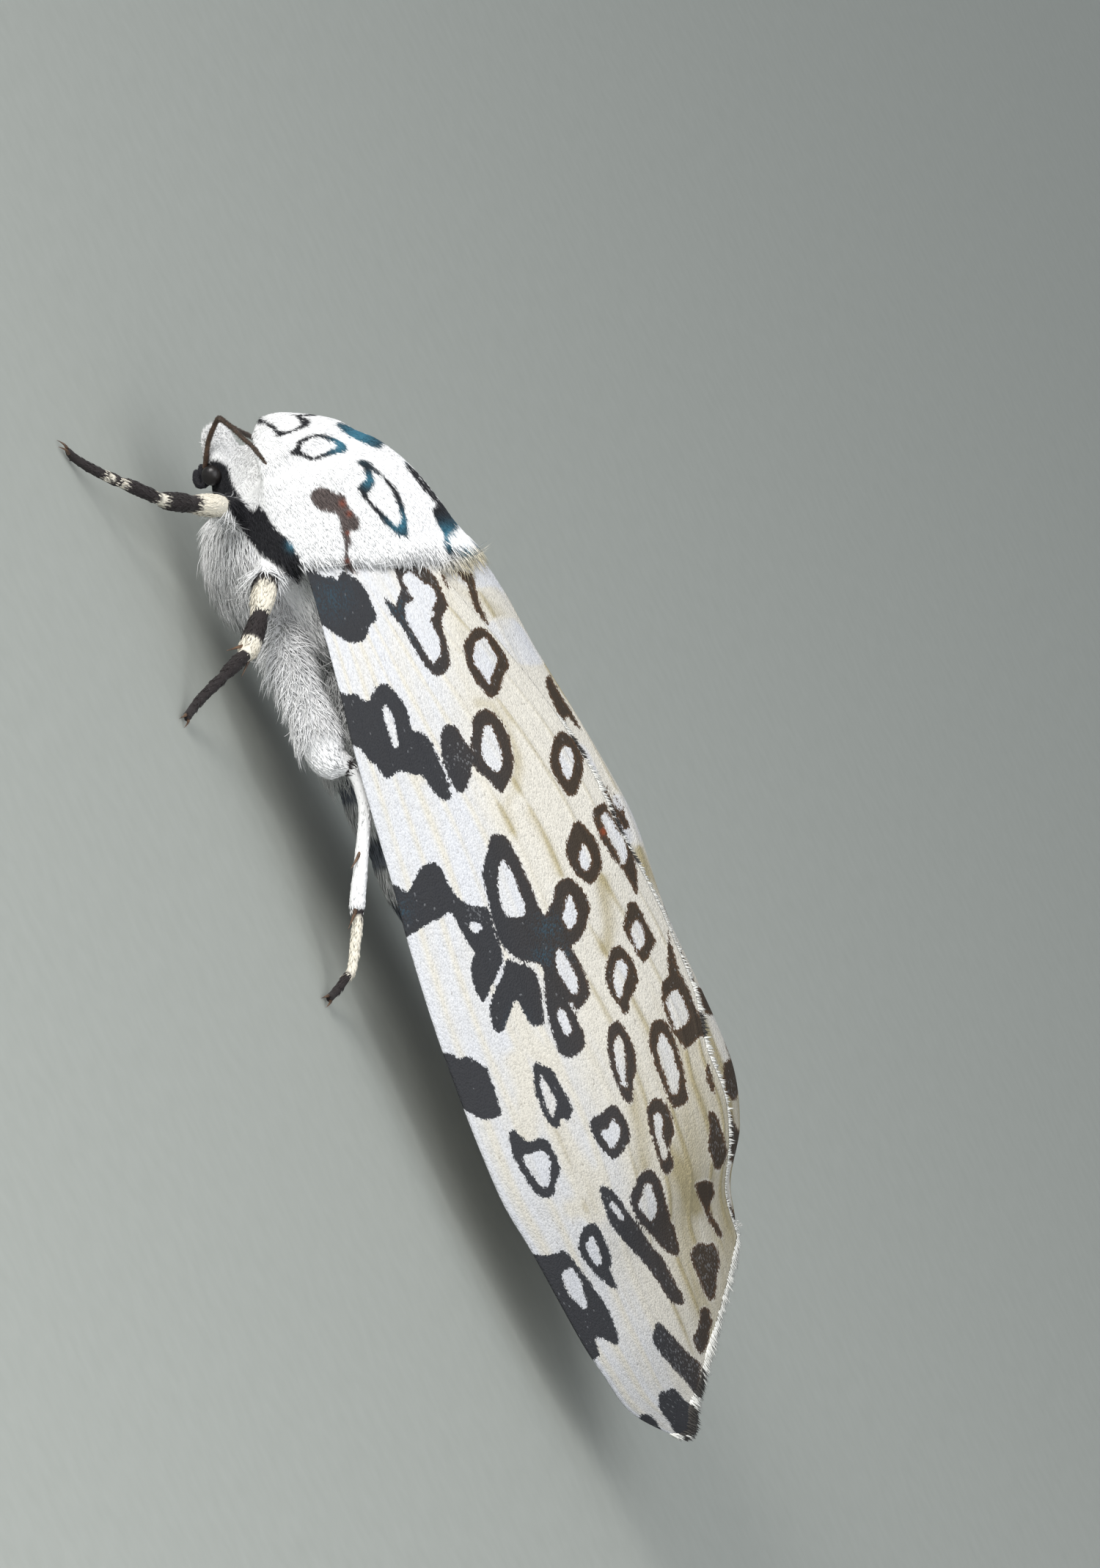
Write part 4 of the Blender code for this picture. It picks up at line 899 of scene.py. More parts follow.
def forewing(name, side, edge, lap, tip_shift):
    u, b = wing_places(WING_GRID)
    x, v = filled(edge, tip_shift, u, b)
    lift = wing_lift(v, lap) + WRINKLE * np.sin(x * 0.9 + v * 7) * np.sin(v * 11 - x * 0.3)
    rise = vein_rise(u, b)
    upper, out = roof(x, v, side, lift + WING_THICK / 2 + rise)
    lower, _ = roof(x, v, side, lift - WING_THICK / 2 + rise * 0.6)
    if side < 0:
        spots = to_px(upper)
        distance = WING_FIELD.at(spots)
    else:
        spots = to_px(roof_middle(*filled(UPPER_EDGE, 0.0, u, b), -1))
        facing = out @ TOWARD
        distance = np.minimum(WING_FIELD.at(spots) + 2 * REACH_PX * step(-0.1, 0.12, facing),
                              STRIP_FIELD.at(to_px(upper)) + 2 * REACH_PX * step(0.0, -0.25, facing))
    piece = wing_plate(name, side, WING_GRID, upper, lower)
    wing_values(piece.data, x, v, distance, spots, 1 - step(0.3, 0.75, v), rise / VEIN_HEIGHT)
    settle(piece, WING_SCALES, "forewing", name)
    fringe(name, side, edge, lap, tip_shift)


def fringe(name, side, edge, lap, tip_shift):
    """Hair along the outer and inner edges of a forewing, in the wing's own plane."""
    count = 2600
    share = np.sort(RANDOM.random(count))
    outer = share < OUTER_FRINGE
    u = np.where(outer, 1.0, 0.25 + 0.75 * (share - OUTER_FRINGE) / (1 - OUTER_FRINGE))
    b = np.where(outer, share / OUTER_FRINGE, 0.0)
    u = u - np.where(outer, RANDOM.random(count) * 0.006, 0)
    b = b + np.where(outer, 0, RANDOM.random(count) * 0.012)

    def spot(u, b):
        x, v = filled(edge, tip_shift, u, b)
        return roof(x, v, side, wing_lift(v, lap) + 0.02)

    root, out = spot(u, b)
    inward, _ = spot(u - np.where(outer, 0.02, 0), b + np.where(outer, 0, 0.03))
    backward, _ = spot(u - 0.02, b)
    aim = unit(unit(root - inward) + np.where(outer, 0.15, 0.9)[:, None] * unit(root - backward)
               + 0.12 * RANDOM.standard_normal((count, 3)))
    length = np.where(outer, 0.55, 0.38) * (0.7 + 0.5 * RANDOM.random(count))
    tint = np.tile(FRINGE_WHITE, (count, 1))
    if side < 0:
        tint[WING_FIELD.at(to_px(root)) < 0] = FRINGE_DARK
    spots = np.stack([0.02 + 0.96 * share, np.full(count, 0.5)], axis=1)
    piece = tufts(name + "_fringe", root, aim, out, length, 0.1, 0.02, 0.0, 3, 0.0, tint, spots)
    settle(piece, HAIR, "forewing", name)


def hindwing(name, side):
    u, b = wing_places(HIND_GRID)
    first, last = HIND_EDGES[0][0], HIND_EDGES[-1][0]
    x = first + (last - first) * (1 - np.cos(np.pi * u)) / 2
    inner, outer = along(HIND_EDGES, x).T
    v = inner + (outer - inner) * b
    drop = -HIND_DROP + (HIND_DROP - 0.72) * step(0.4, 0.72, v) + 0.05 * np.abs(np.sin(v * 26))
    upper, _ = roof(x, v, side, drop + HIND_THICK / 2)
    lower, _ = roof(x, v, side, drop - HIND_THICK / 2)
    distance = np.full(len(x), REACH_PX)
    for at_x, at_v, wide, tall in HIND_SPOTS:
        gap = np.hypot((x - at_x) / wide, (v - at_v) / tall) - 1
        distance = np.minimum(distance, gap * min(wide, tall * WING_ACROSS) * PX_PER_MM)
    piece = wing_plate(name, side, HIND_GRID, upper, lower)
    wing_values(piece.data, x, v, distance, np.full((len(x), 2), -1000.0), np.full(len(x), 0.6), 0.0)
    settle(piece, HIND_SCALES, "hindwing", name)


# Skin

def closed_shell(rings, end=None):
    """Points and corners of a closed surface over rings, drawn together in the ends' middles or at end."""
    count, sides = rings.shape[:2]
    r, s = lattice(np.arange(count - 1), np.arange(sides))
    t = (s + 1) % sides
    quads = np.stack([r * sides + s, r * sides + t, (r + 1) * sides + t, (r + 1) * sides + s], axis=1)
    s = np.arange(sides)
    t = (s + 1) % sides
    base = (count - 1) * sides
    first = count * sides
    caps = np.concatenate([np.stack([np.full(sides, first), t, s], axis=1),
                           np.stack([np.full(sides, first + 1), base + s, base + t], axis=1)])
    ends = [rings[0].mean(0), rings[-1].mean(0) if end is None else end]
    return np.concatenate([rings.reshape(-1, 3), ends]), [quads, caps]


def smooth_path(path, parts=LEG_PARTS):
    """A path of (x, y, z, radius) with more points, smooth between the given ones."""
    rows = np.array([(k, *row) for k, row in enumerate(path)], float)
    return along(rows, np.linspace(0, len(path) - 1, (len(path) - 1) * parts + 1))


def tube_shell(path, sides, grow=0.0):
    """A closed shell of rings around a path, without twist."""
    points = path[:, :3]
    radius = path[:, 3] + grow
    ahead = unit(np.gradient(points, axis=0))
    across = np.cross(ahead[0], (0, 0, 1.0))
    turn = circle(sides)[:, None]
    rings = []
    for k in range(len(points)):
        across = unit(across - ahead[k] * (across @ ahead[k]))
        up = np.cross(ahead[k], across)
        rings.append(points[k] + radius[k] * (np.cos(turn) * across + np.sin(turn) * up))
    return closed_shell(np.array(rings))


def mirror(path):
    return [(p[0], -p[1], *p[2:]) for p in path]


def relief(x, turn):
    """Swell of the coat: collar lobes and shoulder plates, with a furrow between them."""
    lean = np.abs(np.degrees(np.pi / 2 - turn))
    lean = np.minimum(lean, 360 - lean)
    plates = band(x, -18.2, -17.2, -13.6, -12.6)
    lobes = band(x, -20.4, -19.6, -19.0, -18.4)
    swell = 0.05 * plates * bump(lean, 48, 20) + 0.035 * lobes * bump(lean, 32, 22)
    swell -= 0.04 * bump(x, FURROW_X, 0.4) * (1 - step(80, 100, lean))
    swell -= 0.025 * plates * bump(lean, 22, 7)
    return 1 + swell * (1 - step(100, 115, lean))


def thorax_shell(depth, wool):
    turn = circle(72)
    up = np.sin(turn)
    above = up >= 0
    table = [(k, *row) for k, row in enumerate(THORAX)]
    rings = []
    for k in np.linspace(0, len(THORAX) - 1, 4 * len(THORAX) - 3):
        top_x, side_x, low_x, top, mid, low, width = along(table, k)
        top = max(top - depth, mid + 0.1)
        low = min(low + wool, mid - 0.1)
        width = max(width - depth, 0.2)
        x = side_x + np.where(above, top_x - side_x, side_x - low_x) * up
        y = width * np.cos(turn) * np.where(above, 1, 1 + 0.38 * up)
        z = np.where(above, top - mid, mid - low) * up
        swell = relief(x, turn)
        rings.append(np.stack([x, y * swell, mid + z * swell], axis=1))
    rings = np.array(rings)
    rings[..., 0] += depth * (1 - step(-20.6, -19.0, rings[..., 0]))
    return closed_shell(rings)


def abdomen_place(x):
    """Place along the abdomen, counted in segments."""
    first, last = ABDOMEN[0][0], ABDOMEN[-1][0]
    return ABDOMEN_SEGMENTS * (x - first) / (last - first)


def abdomen_shell(depth):
    x = np.linspace(ABDOMEN[0][0], ABDOMEN[-1][0], 90)
    height, width, tall = along(ABDOMEN, x).T
    swell = 0.96 + 0.04 * np.abs(np.sin(np.pi * abdomen_place(x)))
    turn = circle(48)
    rings = np.stack([
        np.repeat(x[:, None], len(turn), 1),
        ((width - depth) * swell)[:, None] * np.cos(turn),
        height[:, None] + ((tall - depth) * swell)[:, None] * np.sin(turn),
    ], axis=2)
    return closed_shell(rings, rings[-1].mean(0) + np.array([0.2, 0, 0]))


def head_shell(depth):
    lift, turn = np.meshgrid(np.pi * np.arange(1, 24) / 24, circle(32), indexing="ij")
    ray = np.stack([np.cos(lift), np.sin(lift) * np.cos(turn), np.sin(lift) * np.sin(turn)], axis=2)
    near = np.maximum(ray @ unit(FACE_WAY), 0)[..., None]
    face = near**1.5 * FACE_WAY * FACE_LENGTH
    return closed_shell(ray * (np.array(HEAD_RADII) - depth) + face + HEAD_MIDDLE)


def joined(shells):
    """The points of several shells, and their corners, counted through."""
    points, faces, first = [], [], 0
    for verts, groups in shells:
        points.append(verts)
        faces += [group + first for group in groups]
        first += len(verts)
    return np.concatenate(points), faces


def remeshed(name, shells, size, rounds):
    """One smooth surface over closed shells that cross each other."""
    points, faces = joined(shells)
    triangles = [np.concatenate([f[:, :3], f[:, [0, 2, 3]]]) if f.shape[1] == 4 else f for f in faces]
    rough = bpy.data.meshes.new(name)
    rough.from_pydata(points.tolist(), [], np.concatenate(triangles).tolist())
    made = new_object(name, rough)
    cover = made.modifiers.new("cover", "REMESH")
    cover.mode = "VOXEL"
    cover.voxel_size = size
    even = made.modifiers.new("even", "SMOOTH")
    even.iterations = rounds
    even.factor = 0.5
    bpy.context.view_layer.update()
    ready = made.evaluated_get(bpy.context.evaluated_depsgraph_get())
    mesh = ready.to_mesh()
    spots = np.empty(len(mesh.vertices) * 3)
    mesh.vertices.foreach_get("co", spots)
    mesh.calc_loop_triangles()
    corners = np.empty(len(mesh.loop_triangles) * 3, np.int32)
    mesh.loop_triangles.foreach_get("vertices", corners)
    ready.to_mesh_clear()
    bpy.data.objects.remove(made, do_unlink=True)
    return spots.reshape(-1, 3), corners.reshape(-1, 3)


def leg_places(points):
    """For each point: the nearest leg by number, place along its path, and height over it."""
    best = np.full(len(points), np.inf)
    which = np.zeros(len(points), int)
    place = np.zeros(len(points))
    for k, path in enumerate(LEG_PATHS):
        for m, (a, b) in enumerate(zip(path[:-1], path[1:])):
            t, gap = nearest(points, a[:3], b[:3])
            gap = gap - (a[3] + (b[3] - a[3]) * t)
            closer = gap < best
            best = np.where(closer, gap, best)
            which = np.where(closer, k, which)
            place = np.where(closer, (m + t) / LEG_PARTS, place)
    return which, place, best


def regions(points):
    """Numbers of the parts that points belong to, and the points' places along a leg."""
    which, place, gap = leg_places(points)
    x, _, z = points.T
    leg = (gap < 0.22) & (place > LEG_CUT[which % LEG_KINDS])
    head = (np.linalg.norm(points - HEAD_MIDDLE, axis=1) < 1.9) & (x < FURROW_X) & (z < 4.9)
    flank = (x < -6.9) & (z < 6.6)
    found = np.where((x > -10.6) & ~flank, ABDOMEN_PART, THORAX_PART)
    found = np.where(head, HEAD_PART, found)
    return np.where(leg, which, found), place


def mixed(tint, share, colour):
    """Colours that go over to another one, each by its own share."""
    return tint + share[:, None] * (colour - tint)


def leg_tint(which, place):
    """Pale and dark bands along a leg."""
    tint = np.empty((len(place), 4))
    for kind in range(LEG_KINDS):
        here = which % LEG_KINDS == kind
        p = place[here]
        pale = np.zeros(len(p))
        for low, high in PALE_BANDS[kind]:
            pale = np.maximum(pale, band(p, low - 0.12, low + 0.12, high - 0.12, high + 0.12))
        light = mixed(LEG_PALE, step(10.9, 10.0, p), COAT_WHITE) if kind == HIND_KIND else LEG_PALE
        tint[here] = mixed(LEG_DARK, pale, light)
    return tint


def body_tint(points, facing, shift=0.0):
    """Colour of the coat of the thorax and head, with the markings on both sides alike."""
    x, _, z = points.T
    flat = points.copy()
    flat[:, 1] = -np.abs(flat[:, 1])
    spots = to_px(flat)
    shown = step(-0.25, 0.0, facing)
    tint = np.tile(COAT_WHITE, (len(points), 1))
    # Painted shade: the coat turns greyer low on the body, behind the head.
    tint = mixed(tint, 0.3 * (1 - step(1.0, 3.6, z)) * step(-18.6, -17.8, x), WOOL_SHADE_GREY)
    tint = mixed(tint, 0.75 * step(-12.6, -11.6, x) * step(7.6, 8.6, z), TUFT_YELLOW)
    tint = mixed(tint, step(1.5, -1.5, SHOULDER_FIELD.at(spots) + shift) * shown, SHOULDER_BROWN)
    tint = mixed(tint, 0.8 * nearness(spots, SHOULDER_RUST) * shown, RUST)
    dark = np.maximum(step(1.2, -1.2, THORAX_FIELD.at(spots) + shift),
                      step(1.5, -1.5, STRIPE_FIELD.at(spots) + shift))
    return mixed(tint, dark * shown, mixed(COAT_BLACK, nearness(spots, COAT_TEAL), TEAL))


def facing_side(points, ways):
    """How squarely each half of the body faces its own side's view."""
    even = ways.copy()
    even[:, 1] *= np.where(points[:, 1] > 0, -1, 1)
    return even @ TOWARD


def abdomen_tint(points):
    x, y, z = points.T
    turn = np.degrees(np.arctan2(z - 4.8, np.abs(y)))
    beat = 0.5 + 0.5 * np.cos(2 * np.pi * abdomen_place(x))
    orange = step(0.45, 0.7, beat) * np.maximum(step(70, 80, turn), band(turn, 14, 20, 28, 34))
    white = step(-12, -22, turn) * (1 - step(0.35, 0.75, beat) * 0.8)
    tint = mixed(np.tile(ABDOMEN_BLUE, (len(points), 1)), orange, ABDOMEN_ORANGE)
    return mixed(tint, white, COAT_WHITE * 0.92)


def coat_tint(points, region, place, facing, shift=0.0):
    tint = body_tint(points, facing, shift)
    tint = np.where((region == ABDOMEN_PART)[:, None], abdomen_tint(points), tint)
    legs = region < LEG_COUNT
    tint[legs] = leg_tint(region[legs], place[legs])
    tint[:, 3] = 1.0
    return np.clip(tint, 0, 1)


def unwrap(points):
    """Place of a point on a turn around the body's length, in the unit square."""
    turn = np.arctan2(points[:, 2] - MAP_HEIGHT, points[:, 1]) / (2 * np.pi) % 1.0
    return 0.02 + 0.96 * np.stack([(points[:, 0] - MAP_START) / MAP_LENGTH, turn], axis=1)


def triangle_ways(points, faces):
    a, b, c = (points[faces[:, k]] for k in range(3))
    cross = np.cross(b - a, c - a)
    return unit(cross), np.linalg.norm(cross, axis=1) / 2


def point_ways(points, faces):
    ways, areas = triangle_ways(points, faces)
    total = np.zeros_like(points)
    for k in range(3):
        np.add.at(total, faces[:, k], ways * areas[:, None])
    return unit(total)


def make_skin():
    shells = [
        thorax_shell(COAT_DEPTH["thorax"], COAT_DEPTH["wool"]),
        abdomen_shell(COAT_DEPTH["abdomen"]),
        head_shell(COAT_DEPTH["head"]),
        tube_shell(smooth_path(NECK), 32),
    ]
    shells += [tube_shell(path, 24, -COAT_DEPTH["leg"]) for path in LEG_PATHS]
    points, faces = remeshed("skin", shells, SKIN_VOXEL, 8)
    points[:, 2] = np.maximum(points[:, 2], SOLE)
    skin = make_mesh("skin", points, faces)
    region, place = regions(points)
    tint = coat_tint(points, region, place, facing_side(points, point_ways(points, faces)))
    put_values(skin.data, "tint", tint * SKIN_SHADE)
    put_map(skin.data, unwrap(points))
    settle(skin, SKIN, "white_coat", "head", "thorax", "abdomen", *LEG_NODES)
    return points, faces, region, place


# Coat

def tufts(name, roots, aims, ups, length, width, thick, bend, levels, wave, tint, spots):
    """Thin tapered tufts from roots along aims, flat toward ups, their ends bent toward ups by bend.

    tint is a colour for each tuft, or a function that gives one for each point.
    """
    count = len(roots)
    length, width, bend, wave = (np.broadcast_to(k, count) for k in (length, width, bend, wave))
    aims = unit(aims)
    across = unit(np.cross(ups, aims))
    lift = np.cross(aims, across)
    phase = RANDOM.random(count) * 2 * np.pi

    def spine(t):
        sway = wave * (np.sin(phase + 7.5 * t) - np.sin(phase)) * length
        reach = aims * (length * t)[:, None] + lift * (bend * length * t * t)[:, None]
        return roots + reach + across * sway[:, None]

    rings = []
    for t in np.arange(levels) / levels:
        size = (0.7 + 0.3 * math.sin(math.pi * min(t * 1.6, 1.0))) * (1 - t**2.2 * 0.85)
        half = across * (width * size / 2)[:, None]
        rings += [spine(t) + half, spine(t) + lift * (thick * size), spine(t) - half]
    points = np.stack([*rings, spine(1)], axis=1).reshape(-1, 3)

    each = 3 * levels + 1
    last = 3 * (levels - 1)
    edges = [(0, 1), (1, 2), (2, 0)]
    quads = [(k + a, k + b, k + b + 3, k + a + 3) for k in range(0, last, 3) for a, b in edges]
    tips = [(last + a, last + b, each - 1) for a, b in edges] + [(2, 1, 0)]
    base = (np.arange(count) * each)[:, None]
    piece = make_mesh(name, points, [np.concatenate([base + face for face in np.array(group)])
                                     for group in (quads, tips)])
    put_values(piece.data, "tint", tint(points) if callable(tint) else np.repeat(tint, each, axis=0))
    local = np.stack([np.tile((np.arange(each) % 3 - 1) * 0.0014, count),
                      np.tile((np.arange(each) / each - 0.5) * 0.0028, count)], axis=1)
    put_map(piece.data, np.repeat(spots, each, axis=0) + local)
    return piece


def scatter(points, faces, want, density):
    """Random roots on the triangles that want picks, their triangles' numbers and ways out."""
    ways, areas = triangle_ways(points, faces)
    share = areas * want * density
    count = int(share.sum() * (1.0))
    rank = (np.arange(count) + RANDOM.random(count)) / count
    picked = np.searchsorted(np.cumsum(share) / share.sum(), rank).clip(0, len(faces) - 1)
    r, s = np.sqrt(RANDOM.random(count)), RANDOM.random(count)
    a, b, c = (points[faces[picked, k]] for k in range(3))
    spots = a * (1 - r)[:, None] + b * (r * (1 - s))[:, None] + c * (r * s)[:, None]
    return spots, picked, ways[picked]


def coat_pieces(name, slot, nodes, levels, roots, aims, ups, length, width, bend, wave, region, place):
    """Tufts in pieces that stay under the limit of faces, shuffled evenly among them."""
    parts = max(1, math.ceil(len(roots) / (PIECE_FACES // (6 * levels - 2))))
    facing = facing_side(roots, ups)
    shift = RANDOM.standard_normal(len(roots)) * EDGE_SCATTER_PX
    tone = 1 - (WOOL_TONES if "wool" in name else COAT_TONES) * RANDOM.random(len(roots))
    each = 3 * levels + 1
    for k in range(parts):
        pick = np.arange(k, len(roots), parts)

        def paint(points):
            many = np.repeat(pick, each)
            tint = coat_tint(points, region[many], place[many], facing[many], shift[many])
            return tint * tone[many][:, None]

        piece = tufts(f"{name}_{k + 1}", roots[pick], aims[pick], ups[pick], length[pick], width[pick],
                      TUFT_THICK, bend[pick], levels, wave[pick], paint, unwrap(roots[pick]))
        settle(piece, HAIR, slot, *nodes)


def make_coat(points, faces, region, place):
    """Tufts over the whole skin: where they grow, how long they are and how they lie."""
    groups = (
        (THORAX_PART, 185.0, velvet_coat, 3, "coat_thorax", "white_coat", ("thorax",)),
        (WOOL_PART, 95.0, wool_coat, 5, "coat_wool", "white_coat", ("thorax", "abdomen")),
        (HEAD_PART, 480.0, head_coat, 3, "coat_head", "white_coat", ("head",)),
        (ABDOMEN_PART, 30.0, abdomen_coat, 2, "coat_abdomen", "abdomen", ("abdomen",)),
        (0, 110.0, leg_coat, 2, "coat_legs", "leg", LEG_NODES),
    )
    ways = point_ways(points, faces)
    corner = faces[:, 0]
    middle = points[faces].mean(1)
    woolly = wool_share(middle, region[corner], place[corner]) > 0.5
    part = np.select([woolly, region[corner] < LEG_COUNT], [WOOL_PART, 0], region[corner])
    density = np.select([part == group[0] for group in groups], [group[1] for group in groups])
    hidden = (part == THORAX_PART) & (middle[:, 0] > COVERED_X)
    roots, picked, out = scatter(points, faces, ~hidden, density)
    corner, part = corner[picked], part[picked]
    out = unit(ways[corner] + 0.3 * out)
    region, place = region[corner], place[corner]
    wild = RANDOM.standard_normal((len(roots), 3))
    size = RANDOM.random(len(roots))
    for number, _, rule, levels, name, slot, nodes in groups:
        here = part == number
        aim, *shape = rule(*(k[here] for k in (roots, out, region, place, wild, size)))
        coat_pieces(name, slot, nodes, levels, roots[here] - out[here] * ROOT_DEPTH, aim, out[here], *shape,
                    region[here], place[here])


def wool_share(points, region, place):
    """Where the long wool grows: under the thorax and on the thighs of the hind legs."""
    height = points[:, 2] - 3.0 * step(-11.5, -10.0, points[:, 0])
    under = (region == THORAX_PART) * (1 - step(3.3, 4.5, height))
    thigh = (region < LEG_COUNT) * (region % LEG_KINDS == HIND_KIND) * (1 - step(2.4, 3.2, place))
    return np.maximum(under, thigh)


def laid(flow, out, lift):
    """Directions along the surface after flow, raised by lift."""
    along_skin = flow - out * np.sum(flow * out, axis=1, keepdims=True)
    return unit(unit(along_skin) + out * np.asarray(lift)[..., None])


def velvet_coat(roots, out, region, place, wild, size):
    x, y, z = roots.T
    rear = step(-14.0, -12.6, x) * step(6.0, 8.0, z)
    rim = step(-0.8, -0.2, x - RIM_X - RIM_LEAN * (z - RIM_Z)) * (1 - rear)
    flow = np.stack([np.ones(len(x)), 0.15 * np.sign(y) * (1 - rear), 0 * x], axis=1) + 0.16 * wild
    aim = laid(flow, out, 0.22 + 0.12 * size - 0.06 * rear - 0.1 * rim)
    length = 0.2 + 0.14 * size + rear * (0.6 + 0.7 * size) + rim * (0.1 + 0.7 * size**2)
    return aim, length, 0.06 + 0.025 * size - 0.02 * rear, -0.1 - 0.1 * size, 0.02 + 0.05 * rear


def wool_coat(roots, out, region, place, wild, size):
    x, y, z = roots.T
    thigh = region < LEG_COUNT
    head_end = step(-16.4, -17.8, x)
    front = step(-13.8, -15.5, x) * (1 - step(2.6, 3.8, z)) * (1 - head_end)
    flow = np.stack([np.ones(len(x)), 0.2 * np.sign(y), -0.35 + 0 * x], axis=1) + 0.3 * wild
    aim = laid(flow, out, 0.4 + 0.25 * size + 0.2 * front - 0.15 * head_end)
    length = 0.8 + 0.7 * size - 0.35 * thigh + 0.45 * front - 0.4 * head_end
    return aim, length, 0.04 + 0.03 * size, -0.15 - 0.2 * size, 0.025 + 0.03 * size


def head_coat(roots, out, region, place, wild, size):
    x, y, z = roots.T
    crown = bump(np.linalg.norm(roots - (HEAD_MIDDLE + FACE_WAY), axis=1), 0, 0.55)
    flow = np.stack([-0.7 + 0 * x, 0.3 * np.sign(y), 0.5 - 0.9 * step(3.7, 3.0, z)], axis=1) + 0.3 * wild
    length = 0.2 + 0.16 * size + 0.28 * crown
    return laid(flow, out, 0.26 + 0.8 * crown), length, 0.045 + 0.02 * size, -0.05 - 0.05 * size, 0.02 + 0 * x


def abdomen_coat(roots, out, region, place, wild, size):
    x = roots[:, 0]
    flow = np.array([1.0, 0, 0]) + 0.12 * wild
    length = 0.45 + 0.3 * size + 0.7 * step(5.0, 7.4, x)
    return laid(flow, out, 0.2 + 0.1 * size), length, 0.15 + 0.06 * size, -0.1 + 0 * x, 0.02 + 0 * x


def leg_coat(roots, out, region, place, wild, size):
    ahead = np.zeros_like(roots)
    for k, path in enumerate(LEG_PATHS):
        here = region == k
        m = np.clip((place[here] * LEG_PARTS).astype(int), 0, len(path) - 2)
        ahead[here] = unit(path[m + 1, :3] - path[m, :3])
    under_thigh = (1 - step(2.5, 5.0, place)) * (region % LEG_KINDS < HIND_KIND) * np.clip(-out[:, 2], 0, 1)
    shin = (region % LEG_KINDS == HIND_KIND) * band(place, 5.5, 6.5, 9.5, 10.5)
    low = 1 - step(0.25, 0.6, roots[:, 2])
    length = (0.22 + 0.14 * size + 0.25 * under_thigh) * (1 - 0.45 * low)
    lift = (0.16 + 0.14 * size + 0.25 * under_thigh - 0.08 * shin) * (1 - 0.6 * low)
    aim = laid(ahead + 0.15 * wild, out, lift)
    return aim, length, 0.07 + 0.03 * size, -0.1 - 0.1 * size, 0.02 + 0 * size


# Small parts

def make_eye(name, side):
    lift, turn = np.meshgrid(np.linspace(0, 1.5, 28), circle(64), indexing="ij")
    wide = EYE_RADIUS * np.cos(lift)
    middle = EYE_MIDDLE * (1, -side, 1)
    reach = side * EYE_DEPTH * np.sin(lift)
    rings = middle + np.stack([wide * np.cos(turn), reach, wide * np.sin(turn)], axis=2)
    rings = np.concatenate([rings[:1] - np.array([0, side * EYE_BACK, 0]), rings])
    points, faces = closed_shell(rings, middle + np.array([0, side * EYE_DEPTH, 0]))
    piece = make_mesh(name + "_ball", points, [group[:, ::-1] for group in faces] if side > 0 else faces)
    settle(piece, EYE, "eye", name)


def around(rows, low, high, count):
    """Random rows of a path between two numbers, the ways ahead there and random ways out."""
    pick = RANDOM.integers(low, high, count)
    ahead = unit(np.gradient(rows[:, :3], axis=0))[pick]
    out = unit(np.cross(ahead, RANDOM.standard_normal((count, 3))))
    return rows[pick], ahead, out


def make_feeler(name, path):
    """A segmented feeler with short bristles."""
    rows = smooth_path(path, 24)
    beat = np.abs(np.sin(np.pi * np.arange(len(rows)) / 4.0))
    rows[:, 3] *= (0.38 + 0.05 * beat) * (1 - 0.3 * np.linspace(0, 1, len(rows)))
    settle(make_mesh(name + "_shaft", *tube_shell(rows, 16)), FEELER, "feeler", name)
    count = 1500
    at, ahead, out = around(rows, 14, len(rows) - 4, count)
    root = at[:, :3] + out * (at[:, 3:] * 0.9)
    length = 0.05 + 0.05 * RANDOM.random(count)
    bristles = tufts(name + "_bristles", root, unit(out + ahead * 0.9), out, length, 0.018, 0.008, -0.05, 2,
                     0.0, np.tile(FEELER_HAIR, (count, 1)), unwrap(root))
    settle(bristles, HAIR, "feeler", name)


def make_palp(name, path):
    rows = smooth_path(path, 10)
    settle(make_mesh(name + "_core", *tube_shell(rows, 20, -0.06)), PALP_HORN, "palp", name)
    count = 1400
    at, ahead, out = around(rows, 2, len(rows), count)
    root = at[:, :3] + out * (at[:, 3:] - 0.08)
    length = 0.1 + 0.07 * RANDOM.random(count)
    hair = tufts(name + "_hair", root, unit(ahead + out * 0.35), out, length, 0.04, 0.02, -0.05, 3, 0.03,
                 np.tile(COAT_BLACK * 1.6, (count, 1)), unwrap(root))
    settle(hair, HAIR, "palp", name)


def hook(root, tip, radius, sag):
    """A curved cone from root to tip."""
    t = np.linspace(0, 1, 9)
    rows = root + (tip - root) * t[:, None]
    rows[:, 2] += sag * np.sin(np.pi * t)
    rows[:, 2] = np.maximum(rows[:, 2], 0.02 + radius * (1 - t))
    return np.concatenate([rows, (radius * (1 - 0.92 * t))[:, None]], axis=1)


def make_horns(name, leg_name, path, spurs):
    """Claws and spurs of a leg, in one piece."""
    end = path[-1, :3]
    ahead = unit((end - path[-6, :3]) * (1, 1, 0))
    across = np.array([-ahead[1], ahead[0], 0])
    drop = np.array([0, 0, 0.16])
    cones = []
    for turn in (-1, 1):
        cones.append(hook(end - ahead * 0.1 + across * 0.1 * turn,
                          end + ahead * CLAW_LENGTH + across * 0.2 * turn - drop, 0.08, 0.07))
    for index, length in spurs:
        root = path[index * LEG_PARTS, :3]
        way = unit(path[(index + 1) * LEG_PARTS, :3] - root)
        side = unit(np.cross(way, (0, 0, 1.0)))
        for turn in (-1, 1):
            start = root + side * path[index * LEG_PARTS, 3] * 0.4 * turn
            aim = unit(way + side * 0.5 * turn + np.array([0, 0, -0.3]))
            cones.append(hook(start, start + aim * length, 0.1, 0.03))
    settle(make_mesh(name, *joined(tube_shell(cone, 10) for cone in cones)), HORN, "leg", leg_name)


# Camera, floor and light

